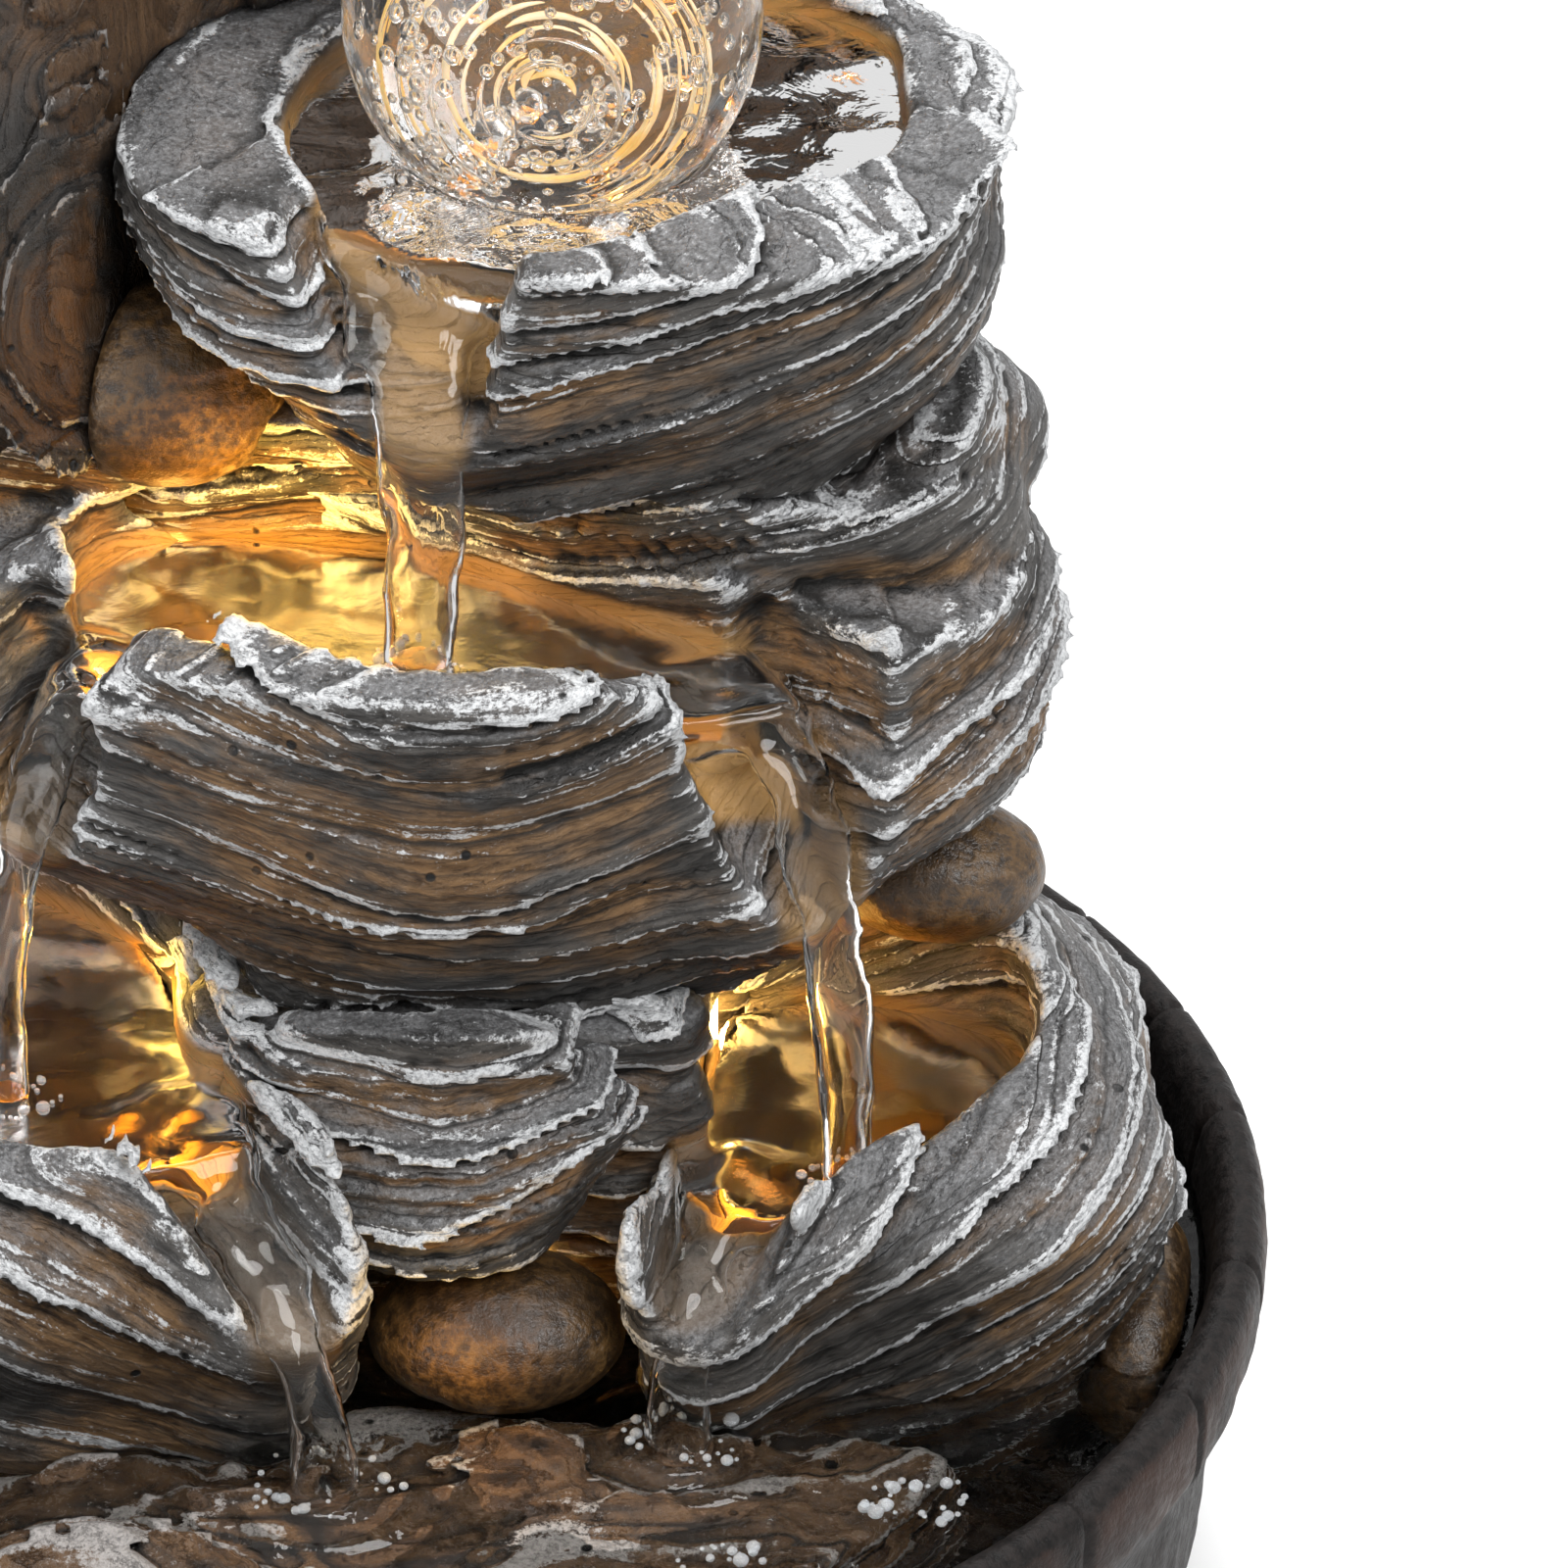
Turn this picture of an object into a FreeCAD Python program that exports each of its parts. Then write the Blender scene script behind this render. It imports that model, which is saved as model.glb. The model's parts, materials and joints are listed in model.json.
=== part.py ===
"""Tabletop water fountain: a stack of cast-resin rock pools standing in a round dark basin.

A glass ball turns on a water jet in the top bowl. The water leaves through a notch, falls into
the middle pool, parts left and right into two lower pools, and runs back into the basin, where a
small submersible pump sits inside the hollow tower.

Frame: millimetres, +Z up, the origin on the table under the basin's centre, -Y is the front.
"""
import math
import os

import FreeCAD
import Part

V = FreeCAD.Vector

# ---------------------------------------------------------------- driving dimensions
FOOT_H = 3.0                  # rubber pads under the basin
FOOT_R = 8.0
FOOT_RING_R = 78.0
RIM_Z = 62.0                  # top of the basin's rim
RIM_R = 106.0                 # outside of the rim
RIM_W = 7.5                   # width of the rim's flat top
FLOOR_Z = 8.0                 # inside floor of the basin
FIT = 0.3                     # gap round a piece that turns or is pushed in by hand
SNUG = 0.05                   # gap round a pin, spigot or sealed insert

SHOULDER_Z = 92.0             # top of the core's wide foot, where the middle pool begins
CORE_TOP = 150.0              # top of the core, where the ball bowl sits
CORE_SEAM_Z = 84.0            # where the core's base ends and its head begins
CORE_BACK_Y = 78.0            # inner face of the core's rear panel
CUP_FLOOR = 168.0             # floor of the ball bowl's cup
BALL_R = 25.0
BALL_C = V(19.0, 47.0, 197.0)

CAVITY_TOP = 140.0
DOOR_X = 26.0                 # half width of the rear opening
DOOR_Z0, DOOR_Z1 = 78.0, 135.0
DOOR_GAP = 0.4
DOOR_Y = 76.0                 # inner face of the rear cover
CORD_Z = 69.0                 # height of the cord's grommet
CORD_R = 3.1

PUMP_X, ROTOR_Z = 8.0, 40.0   # the rotor's axis runs along Y
PUMP_W = 36.0
PUMP_Z0, PUMP_Z1 = 13.0, 55.0
MOTOR_Y0, MOTOR_Y1 = 22.0, 46.0
CHAMBER_Y1 = 54.0
INTAKE_Y1 = 64.0
PUMP_WALL = 2.5
WELL_R = 8.3                  # the well in the motor that the magnet turns in
WELL_END = 28.5
SHAFT_R = 1.5
SPIGOT_R = 4.45
TUBE_R, TUBE_BORE = 6.0, 4.5
TUBE_TOP = 164.0
NOZZLE_R = 9.0
LAMP_R = 5.0
LENS_T = 2.5
LEAD_R = 0.9
JUNCTION = (-29.0, -5.0, 59.0, 75.0, 94.0, 106.0)

# ---------------------------------------------------------------- outlines, seen from above
CORE_LOWER = [(37, -8), (38, 12), (45, 34), (44, 60), (34, 78), (18, 86), (0, 88), (-18, 86),
              (-34, 78), (-44, 60), (-44, 34), (-29, 12), (-24, -10), (-8, -14), (20, -14)]
CORE_UPPER = [(44, 34), (44, 60), (34, 78), (18, 86), (0, 88), (-18, 86), (-34, 78), (-44, 60),
              (-42, 36), (-22, 31), (4, 28), (28, 27)]
LEFT_POOL_ROCK = [(-4, -41), (-14, -46), (-26, -45), (-42, -48), (-62, -45), (-79, -33), (-89, -12),
                  (-91, 8), (-85, 28), (-70, 46), (-50, 52), (-30, 40), (-16, 10), (-8, -20)]
RIGHT_POOL_ROCK = [(92, -2), (91, -18), (81, -29), (64, -34), (47, -36), (39, -41), (30, -38),
                   (29, -22), (34, -4), (38, 14), (44, 34), (58, 50), (73, 47), (85, 33), (91, 14)]
CENTRE_ROCK_TOP = [(39, -8), (38, 4), (8, 8), (-22, 6), (-26, -8), (-17, -15), (-4, -18), (9, -19.5),
                   (25, -17)]
CENTRE_ROCK_FOOT = [(20, -24), (18, -8), (8, -6), (-6, -8), (-11, -24), (-8, -32), (-2, -35), (7, -36),
                    (15, -33)]
# each of the next four is {height: outline}, the same number of points at every height
MIDDLE_ROCK = {
    94: [(57, 32), (53, 15), (48, 5), (43, -1), (37, -5), (29, -8), (18, -10), (4, -11), (-9, -10),
         (-18, -6), (-24, 1), (-29, 7), (-34, 15), (-38, 27), (-40, 44), (-36, 60), (-18, 77), (8, 83),
         (34, 77), (48, 59)],
    106: [(68, 27), (63, 11), (57, 2), (54, -7), (51, -14.5), (37, -14), (20, -15), (4, -15.5),
          (-11, -14), (-22, -11.5), (-29, -7), (-37, 1), (-46, 11), (-54, 24), (-52, 44), (-42, 64),
          (-20, 80), (9, 86), (38, 80), (58, 58)],
    117: [(77, 24), (75, 8), (70, -3), (61, -12), (52, -18), (37, -17.5), (20, -18.5), (4, -19),
          (-13, -18), (-27, -16), (-38, -14), (-50, -8), (-62, 4), (-68, 22), (-64, 46), (-47, 68),
          (-20, 83), (10, 88), (42, 82), (65, 60)],
    128: [(78, 24), (77, 8), (71, -3), (62, -11), (51, -16.5), (37, -18), (20, -19), (4, -19.5),
          (-13, -18), (-27, -15.5), (-40, -14.5), (-52, -11), (-64, 2), (-71, 22), (-66, 48), (-48, 70),
          (-20, 84), (10, 88.5), (42, 83), (66, 60)],
    142: [(77, 24), (76, 10), (70, 0), (61, -7), (51, -12), (37, -15.5), (20, -17.5), (4, -18),
          (-12, -16), (-25, -12), (-38, -11), (-50, -9), (-62, 4), (-70, 24), (-65, 48), (-47, 69),
          (-20, 83), (10, 87.5), (41, 82), (65, 60)],
}
MIDDLE_SHOULDER = {
    131: [(75, 21), (74, 12), (66, 8), (54, 8), (38, 9.5), (20, 19), (0, 28), (-22, 31), (-38, 30),
          (-52, 26), (-66, 26), (-65, 46), (-48, 66), (-24, 80), (5, 86), (34, 82), (58, 69), (72, 46)],
    143: [(76, 22), (75, 14), (67, 9), (54, 8.5), (38, 11), (20, 20), (0, 28.5), (-22, 31), (-38, 29),
          (-52, 23), (-68, 22), (-66, 46), (-49, 67), (-24, 81), (5, 87), (34, 83), (59, 70), (74, 46)],
    151: [(75, 27), (73, 19), (66, 13), (54, 11), (38, 13), (20, 21), (0, 29), (-22, 31), (-38, 30),
          (-52, 26), (-66, 27), (-64, 47), (-48, 66), (-24, 80), (5, 86), (34, 82), (58, 69), (73, 48)],
}
BALL_BOWL = {
    150: [(61, 43), (59, 27), (54, 16), (46, 11), (35, 9.5), (24, 10), (13, 10.5), (4, 11), (-2, 15),
          (-7, 23), (-11, 33), (-15, 46), (-14, 60), (-4, 73), (14, 80), (34, 82), (50, 76), (59, 61)],
    158: [(67, 43), (65, 26), (59, 14), (49, 9), (38, 8), (26, 8), (14, 8), (4, 7.5), (-4, 11), (-11, 19),
          (-16, 31), (-21, 46), (-19, 62), (-7, 76), (12, 84), (34, 86), (53, 80), (64, 63)],
    166: [(72, 43), (71, 26), (64, 13), (53, 8), (40, 6.5), (27, 6), (15, 6.5), (4, 7.5), (-8, 11),
          (-18, 17.5), (-24, 30), (-28, 46), (-24, 62), (-10, 77), (11, 87), (34, 89), (55, 83), (68, 65)],
    175: [(72, 43), (70, 27), (64, 15), (53, 9), (40, 7), (27, 6.5), (15, 8), (4, 10), (-10, 13.5),
          (-22, 19.5), (-29, 31), (-31, 46), (-26, 62), (-11, 77), (10, 87), (34, 90), (55, 83), (68, 65)],
    185: [(74, 43), (72, 28), (66, 15), (54, 7), (40, 4), (27, 3), (15, 7), (3, 11), (-12, 14.5),
          (-25, 20), (-32.5, 31), (-33, 46), (-27, 62), (-12, 78), (10, 88), (34, 91), (56, 84), (69, 66)],
}
BOWL_CUP = [(61, 50), (58, 37), (50, 28), (39, 20), (18, 14), (4, 17), (-6, 25), (-13, 43),
            (-8, 64), (8, 76), (30, 81), (50, 76), (60, 64)]
LEFT_POOL = [(-18, -26), (-34, -33), (-50, -32), (-68, -25), (-78, -9), (-78, 8), (-66, 24),
             (-48, 26), (-34, 16), (-27, 4), (-21, -12)]
RIGHT_POOL = [(77, 0), (75, -10), (67, -18), (55, -24), (44, -27), (36, -22), (34, -14), (38, 4),
              (41, 14), (52, 18), (63, 15), (73, 9)]
MIDDLE_POOL = [(47, -5), (38, -8), (31, -9), (10, -10), (-2, -9), (-15, -4), (-26, 1), (-36, 8),
               (-39, 20), (-32, 30), (-20, 31), (4, 27), (20, 18), (38, 7)]
CRAG = {
    # height: outline; the wall behind the bowl narrows to a spire at the left
    146: [(66, 74), (40, 90), (5, 95), (-30, 90), (-54, 76), (-66, 56), (-65, 36), (-52, 24),
          (-38, 26), (-30, 44), (-14, 66), (10, 78), (40, 76)],
    190: [(56, 80), (36, 92), (4, 98), (-30, 92), (-54, 78), (-67, 58), (-65, 40), (-52, 28),
          (-40, 32), (-32, 48), (-16, 68), (8, 80), (36, 80)],
    240: [(12, 84), (2, 92), (-12, 95), (-30, 91), (-46, 80), (-54, 66), (-52, 54), (-45, 47),
          (-38, 49), (-30, 58), (-22, 68), (-10, 76), (2, 79)],
    285: [(-14, 78), (-17, 82), (-22, 84), (-28, 82), (-32, 77), (-34, 71), (-33, 67), (-30, 64),
          (-27, 65), (-24, 68), (-21, 71), (-18, 73), (-15, 75)],
}
LEDGE = [(68, -44), (60, -56), (50, -66), (28, -76), (0, -80), (-30, -76), (-55, -66), (-70, -54),
         (-66, -40), (-40, -36), (-10, -32), (20, -32), (48, -34)]


# ---------------------------------------------------------------- helpers
def centroid(points):
    return (sum(p[0] for p in points) / len(points), sum(p[1] for p in points) / len(points))


def ring(points, z, scale=1.0, about=None, shift=(0.0, 0.0)):
    """A smooth closed curve through the outline's points at height z, scaled about its middle."""
    cx, cy = about or centroid(points)
    placed = [V(cx + (x - cx) * scale + shift[0], cy + (y - cy) * scale + shift[1], z)
              for x, y in points]
    curve = Part.BSplineCurve()
    curve.interpolate(placed, PeriodicFlag=True)
    return Part.Wire([curve.toShape()])


def rock(points, levels, about=None):
    """A closed rock whose outline grows and shrinks with height; levels are (z, scale)."""
    return Part.makeLoft([ring(points, z, s, about) for z, s in levels], True, False)


def stacked(outlines):
    """A closed rock through the outlines, given as {height: points}."""
    return Part.makeLoft([ring(points, z) for z, points in outlines.items()], True, False)


def tapered(lower, upper, z0, z1):
    """A closed solid between two outlines with the same number of points."""
    return Part.makeLoft([ring(lower, z0), ring(upper, z1)], True, True)


def box(x0, x1, y0, y1, z0, z1):
    return Part.makeBox(x1 - x0, y1 - y0, z1 - z0, V(x0, y0, z0))


def rod(x, z, r, y0, y1):
    """A cylinder along +Y."""
    return Part.makeCylinder(r, y1 - y0, V(x, y0, z), V(0, 1, 0))


def post(x, y, r, z0, z1):
    """A cylinder along +Z."""
    return Part.makeCylinder(r, z1 - z0, V(x, y, z0), V(0, 0, 1))


def ellipsoid(centre, rx, ry, rz):
    ball = Part.makeSphere(1.0)
    m = FreeCAD.Matrix()
    m.scale(rx, ry, rz)
    shape = ball.transformGeometry(m)
    shape.translate(centre)
    return shape


def chute(start, end, width0, width1, flare_left, flare_right, top):
    """A notch whose floor falls from start to end, narrowing on the way, open above.

    Each cheek leans outwards by its flare, in mm per mm of height; left is the left of someone
    who looks at the fountain from the front.
    """
    along = V(end.x - start.x, end.y - start.y, 0)
    along.normalize()
    side = V(-along.y, along.x, 0)

    def frame(p, width):
        up = top - p.z
        left = p - side * (width / 2)
        right = p + side * (width / 2)
        corners = [left, right, right + V(0, 0, up) + side * (flare_right * up),
                   left + V(0, 0, up) - side * (flare_left * up)]
        return Part.makePolygon(corners + corners[:1])

    return Part.makeLoft([frame(start, width0), frame(end, width1)], True, True)


def round_path(points, first=None):
    """Straight runs joined by arcs as large as the runs allow, as one wire."""
    edges = []
    at = points[0]
    for i in range(1, len(points) - 1):
        p, q, r = points[i - 1], points[i], points[i + 1]
        u, w = (q - p), (r - q)
        short = min(u.Length, w.Length)
        u.normalize()
        w.normalize()
        half = u.getAngle(w) / 2
        back = 0.45 * short
        radius = back / math.tan(half)
        a, c = q - u * back, q + w * back
        inward = (w - u)
        inward.normalize()
        mid = q + inward * (radius / math.cos(half) - radius)
        edges.append(Part.LineSegment(at, a).toShape())
        edges.append(Part.Arc(a, mid, c).toShape())
        at = c
    edges.append(Part.LineSegment(at, points[-1]).toShape())
    return Part.Wire(edges)


def tube(points, r_out, r_in=0.0):
    """A round tube or wire along a rounded path."""
    path = round_path(points)
    start, way = points[0], (points[1] - points[0])

    def swept(r):
        circle = Part.Wire([Part.makeCircle(r, start, way)])
        return path.makePipeShell([circle], True, False)

    outer = swept(r_out)
    return outer.cut(swept(r_in)) if r_in else outer


def one_solid(shape, name):
    """The largest solid of a boolean's result, with its seams cleaned."""
    solids = sorted(shape.Solids, key=lambda s: s.Volume)
    if not solids:
        raise ValueError(name + " has no solid")
    return solids[-1]


def save(name, *solids):
    shape = solids[0] if len(solids) == 1 else Part.makeCompound(list(solids))
    if not shape.isValid():
        print("warning: invalid", name)
    shape.exportStep(os.path.join("parts", name + ".step"))
    print(name, len(shape.Solids), "solid(s)", round(shape.Volume / 1000, 1), "cm3")
    return shape


# ---------------------------------------------------------------- basin
def make_basin():
    """Round bowl with a rolled rim; a thick floor stands on four pads."""
    r_in = RIM_R - RIM_W
    profile = [(0, FOOT_H), (90, FOOT_H), (96, 7), (98, 14), (100, 28), (101, 40), (104.6, 46),
               (RIM_R, 51), (RIM_R, 57), (104.4, 61), (102.6, RIM_Z), (r_in + 1.2, RIM_Z),
               (r_in, 60.6), (97.5, 50), (95.5, 34), (92, 18), (87, 10), (82, FLOOR_Z), (0, FLOOR_Z)]
    points = [V(r, 0, z) for r, z in profile]
    face = Part.Face(Part.makePolygon(points + points[:1]))
    return face.revolve(V(0, 0, 0), V(0, 0, 1), 360)


def make_feet():
    pads = []
    for i in range(4):
        a = math.radians(45 + 90 * i)
        pads.append(post(FOOT_RING_R * math.cos(a), FOOT_RING_R * math.sin(a), FOOT_R, 0, FOOT_H))
    return pads


# ---------------------------------------------------------------- lamps
# name: (centre of the lens's face, the way the light leaves, length of the lamp)
LAMPS = {
    "ball": (V(32, 62, 168), V(0, 0, 1), 22.0),
    "middle": (V(-29, 32, 127), V(0, -1, 0), 18.0),
    "left": (V(-25.5, 12, 82), V(-1, 0, 0), 14.0),
    "right": (V(38.2, 14, 74), V(1, 0, 0), 14.0),
    "front": (V(12, -14.2, 56), V(0, -1, 0), 24.0),
}


def make_lamp(name):
    """Barrel, lens, and the board with its chip, of one sealed spot lamp."""
    lens_at, way, length = LAMPS[name]
    back = lens_at - way * length
    end_wall = 3.0
    barrel = Part.makeCylinder(LAMP_R, length - LENS_T, back, way)
    barrel = barrel.cut(Part.makeCylinder(LAMP_R - 1, length, back + way * end_wall, way))
    lens = Part.makeCylinder(LAMP_R, LENS_T, lens_at - way * LENS_T, way)
    board = Part.makeCylinder(LAMP_R - 1 - SNUG, 1.6, back + way * end_wall, way)
    chip = Part.makeCylinder(1.6, 1.2, back + way * (end_wall + 1.6), way)
    return barrel, lens, board.fuse(chip)


def lamp_sockets():
    """Holes for the lamps, open in front of each lens, and a lead's way down from the ball's lamp."""
    ahead = 12.0
    holes = [Part.makeCylinder(LAMP_R + SNUG, length + SNUG + ahead, at - way * (length + SNUG), way)
             for at, way, length in LAMPS.values()]
    at, way, length = LAMPS["ball"]
    holes.append(post(at.x, at.y, 2.0, CAVITY_TOP - 2, at.z - length))
    return holes


# ---------------------------------------------------------------- rockery
def core_blank():
    """The hollow core before anything is cut: a wide foot and a set-back upper part."""
    lower = rock(CORE_LOWER, [(FLOOR_Z, 0.84), (16, 0.94), (28, 0.99), (64, 1.0),
                              (SHOULDER_Z, 0.98)], (0, 40))
    upper = rock(CORE_UPPER, [(SHOULDER_Z - 4, 0.93), (112, 0.98), (132, 0.97), (CORE_TOP, 0.98)], (0, 56))
    return lower.fuse(upper)


def cavity():
    """The room inside the core for the pump, the hose and the leads."""
    lower = box(-28, 32, 4, CORE_BACK_Y, FLOOR_Z - 1, CORE_SEAM_Z).cut(box(-60, -20, -5, 16, 0, 90))
    upper = box(-30, 34, 40, CORE_BACK_Y, CORE_SEAM_Z - 1, CAVITY_TOP)
    return lower.fuse(upper)


def door(gap, y0):
    """The rear opening, or with a gap the slightly smaller plug that fills it."""
    return box(-DOOR_X + gap, DOOR_X - gap, y0, 100, DOOR_Z0 + gap, DOOR_Z1 - gap)


def pool(points, levels):
    """The room of a pool: the outline at each (z, scale), open above."""
    return Part.makeLoft([ring(points, z, s) for z, s in levels], True, True)


def above_slope(y, z, slope):
    """Everything above a plane that rises to the rear, for a rim that tilts."""
    block = box(-150, 150, -150, 150, 0, 100)
    block.rotate(V(0, 0, 0), V(1, 0, 0), math.degrees(math.atan(slope)))
    block.translate(V(0, y, z))
    return block


# spouts: (start, end, width at the start, width at the end, left flare, right flare, top)
SPOUT_BALL = (V(3, 28, 178), V(4, 1, 155), 22, 11, 0.55, 0.22, 210)
SPOUT_MIDDLE_LEFT = (V(-34, 8, 131), V(-44, -20, 113), 12, 9, 0.3, 0.08, 160)
SPOUT_MIDDLE_RIGHT = (V(36, 3, 131), V(54.5, -24, 101), 14, 9, 0.3, 0.25, 160)
SPOUT_LEFT = (V(-27, -20, 83), V(-8, -50, 66), 13, 9, 0.45, 0.5, 112)
SPOUT_RIGHT = (V(41, -15, 74), V(34, -47, 64), 12, 8, 0.6, 0.5, 112)


def make_rocks(basin):
    """The castings, each cut back from those it is glued to, as {node: solid}."""
    rocks = {}
    blank = core_blank()
    sockets = Part.makeCompound(lamp_sockets())
    left_pool = pool(LEFT_POOL, [(72, 0.72), (80, 0.93), (86, 1.0), (112, 1.05)])
    right_pool = pool(RIGHT_POOL, [(62, 0.70), (70, 0.93), (76, 1.0), (112, 1.05)])
    low_water = Part.makeCompound([left_pool, right_pool, chute(*SPOUT_LEFT), chute(*SPOUT_RIGHT)])

    crest = ellipsoid(V(64, 34, 146), 13, 20, 13)
    middle_blank = stacked(MIDDLE_ROCK).fuse(stacked(MIDDLE_SHOULDER)).fuse(crest)
    bowl_blank = stacked(BALL_BOWL)
    centre_blank = tapered(CENTRE_ROCK_FOOT, CENTRE_ROCK_TOP, 69, 96)

    core = blank.cut(cavity()).cut(door(0, DOOR_Y - 6)).cut(sockets)
    core = core.cut(post(BALL_C.x, BALL_C.y, TUBE_R + FIT, CAVITY_TOP - 2, CORE_TOP + 5))
    core = core.cut(rod(0, CORD_Z, CORD_R + 1.4, 70, 100)).cut(rod(0, CORD_Z, CORD_R + 3.9, 86, 100))
    core = core.cut(box(-10, 10, 70, 100, FLOOR_Z - 1, FLOOR_Z + 10))
    panel = box(-28, 32, CORE_BACK_Y, 100, 0, DOOR_Z0)
    below_seam = box(-60, 60, -30, 100, 0, CORE_SEAM_Z)
    rocks["core_panel"] = core.common(panel)
    rocks["core_base"] = core.common(below_seam).cut(panel)
    rocks["core_head"] = core.cut(below_seam)

    left = rock(LEFT_POOL_ROCK, [(FLOOR_Z, 0.74), (20, 0.82), (48, 0.90), (58, 0.93), (68, 1.0),
                                 (78, 0.98), (108, 0.95)], (-44, 4))
    left = left.cut(above_slope(-42, 89, 0.22))
    rocks["left_pool_rock"] = left.cut(blank).cut(low_water).cut(sockets).cut(middle_blank).cut(centre_blank)
    right = rock(RIGHT_POOL_ROCK, [(FLOOR_Z, 0.62), (18, 0.76), (30, 0.82), (46, 0.88), (56, 0.93),
                                   (66, 0.99), (74, 1.0), (104, 0.97)], (60, 4))
    right = right.cut(above_slope(-35, 79, 0.30))
    right = right.cut(blank).cut(low_water).cut(sockets).cut(middle_blank)
    rocks["right_pool_rock"] = right.cut(centre_blank)
    rocks["centre_rock"] = centre_blank.cut(blank).cut(low_water).cut(sockets).cut(middle_blank)

    middle_pool = pool(MIDDLE_POOL, [(120, 0.70), (128, 0.93), (135, 1.0), (170, 1.04)])
    middle = middle_blank.cut(blank).cut(middle_pool).cut(chute(*SPOUT_MIDDLE_LEFT))
    middle = middle.cut(chute(*SPOUT_MIDDLE_RIGHT)).cut(sockets).cut(door(0, 40)).cut(bowl_blank)
    rocks["middle_rock"] = middle

    cup = pool(BOWL_CUP, [(CUP_FLOOR, 0.82), (176, 0.95), (183, 1.0), (215, 1.03)])
    bowl = bowl_blank.cut(cup).cut(chute(*SPOUT_BALL)).cut(sockets)
    bowl = bowl.cut(post(BALL_C.x, BALL_C.y, TUBE_R + FIT, CORE_TOP - 1, CUP_FLOOR))
    rocks["ball_bowl"] = bowl.cut(post(BALL_C.x, BALL_C.y, NOZZLE_R + SNUG, TUBE_TOP - 4, CUP_FLOOR + 1))

    rocks["crag"] = stacked(CRAG).cut(bowl_blank).cut(blank).cut(middle_blank)
    rocks["rear_cover"] = door(DOOR_GAP, DOOR_Y).common(blank.fuse(middle_blank))

    around = Part.makeCompound([blank, middle_blank, bowl_blank, rocks["left_pool_rock"],
                                rocks["right_pool_rock"], rocks["centre_rock"]])
    ledge = rock(LEDGE, [(FLOOR_Z, 0.90), (24, 0.98), (40, 1.0), (51, 0.96)])
    rocks["ledge_rock"] = ledge.cut(around).cut(sockets)
    rocks["front_pebble"] = ellipsoid(V(12, -27.5, 59.3), 15.6, 12, 9)
    rocks["right_pebble"] = ellipsoid(V(65, 12, 99), 13, 10, 9).cut(around)
    rocks["left_boulder"] = ellipsoid(V(-28, 37, 152), 16, 13, 13).cut(around).cut(rocks["crag"])
    inside_basin = Part.makeCone(91, 97, 46, V(0, 0, 15))
    rocks["side_rock"] = ellipsoid(V(89, -8, 42), 9, 22, 18).common(inside_basin).cut(around)
    standing = ("core_base", "core_panel", "left_pool_rock", "right_pool_rock", "ledge_rock", "side_rock")
    for name in standing:
        rocks[name] = rocks[name].cut(basin)
    return {name: one_solid(shape, name) for name, shape in rocks.items()}


def make_grommet():
    """Rubber bush for the cord, with a flange outside the wall."""
    sleeve = rod(0, CORD_Z, CORD_R + 1.4 - SNUG, 76, 88).fuse(rod(0, CORD_Z, CORD_R + 3.9 - SNUG, 88, 92))
    sleeve = sleeve.fuse(rod(0, CORD_Z, CORD_R + 3.9 - SNUG, 86 + SNUG, 92))
    return sleeve.cut(rod(0, CORD_Z, CORD_R, 70, 100))


# ---------------------------------------------------------------- ball and its water
def make_nozzle():
    """A dished seat under the ball, which the hose pushes into from below."""
    body = post(BALL_C.x, BALL_C.y, NOZZLE_R, TUBE_TOP - 4, CUP_FLOOR)
    body = body.fuse(post(BALL_C.x, BALL_C.y, NOZZLE_R + 3, CUP_FLOOR, CUP_FLOOR + 8))
    body = body.cut(post(BALL_C.x, BALL_C.y, TUBE_R + SNUG, TUBE_TOP - 5, TUBE_TOP))
    body = body.cut(post(BALL_C.x, BALL_C.y, TUBE_BORE, TUBE_TOP - 1, CUP_FLOOR + 9))
    return one_solid(body.cut(Part.makeSphere(BALL_R + FIT, BALL_C)), "ball_nozzle")


def make_supply_tube():
    """Clear hose from the pump's spigot up through the core to the nozzle, in a shallow S."""
    y = (MOTOR_Y1 + CHAMBER_Y1) / 2
    start = V(PUMP_X, y, PUMP_Z1 + 1)
    return tube([start, V(PUMP_X, y, 82), V(BALL_C.x, BALL_C.y, 118), V(BALL_C.x, BALL_C.y, TUBE_TOP)],
                TUBE_R, TUBE_BORE)


# ---------------------------------------------------------------- pump
def pump_box(y0, y1, inset=0.0):
    """The pump's rounded block between two planes."""
    half = PUMP_W / 2 - inset
    block = box(PUMP_X - half, PUMP_X + half, y0, y1, PUMP_Z0 + inset, PUMP_Z1 - inset)
    along = [e for e in block.Edges if abs(e.tangentAt(e.FirstParameter).y) > 0.9]
    return block.makeFillet(4.0 - 0.8 * inset, along)


def rotor(r, y0, y1):
    return rod(PUMP_X, ROTOR_Z, r, y0, y1)


CUP_AT = [(PUMP_X + dx, y) for dx in (-11, 11) for y in (MOTOR_Y0 + 5, MOTOR_Y1 - 5)]
SEAL = (12.2, 13.8, 45.0, 46.5)      # O-ring: inner and outer radius, first and last Y
YOKE_Z0 = PUMP_Z0 + PUMP_WALL + 3.0
STATOR_Y0, STATOR_Y1 = 31.0, 41.0


def seal_ring():
    r_in, r_out, y0, y1 = SEAL
    return rotor(r_out, y0, y1).cut(rotor(r_in, y0, y1))


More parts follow.
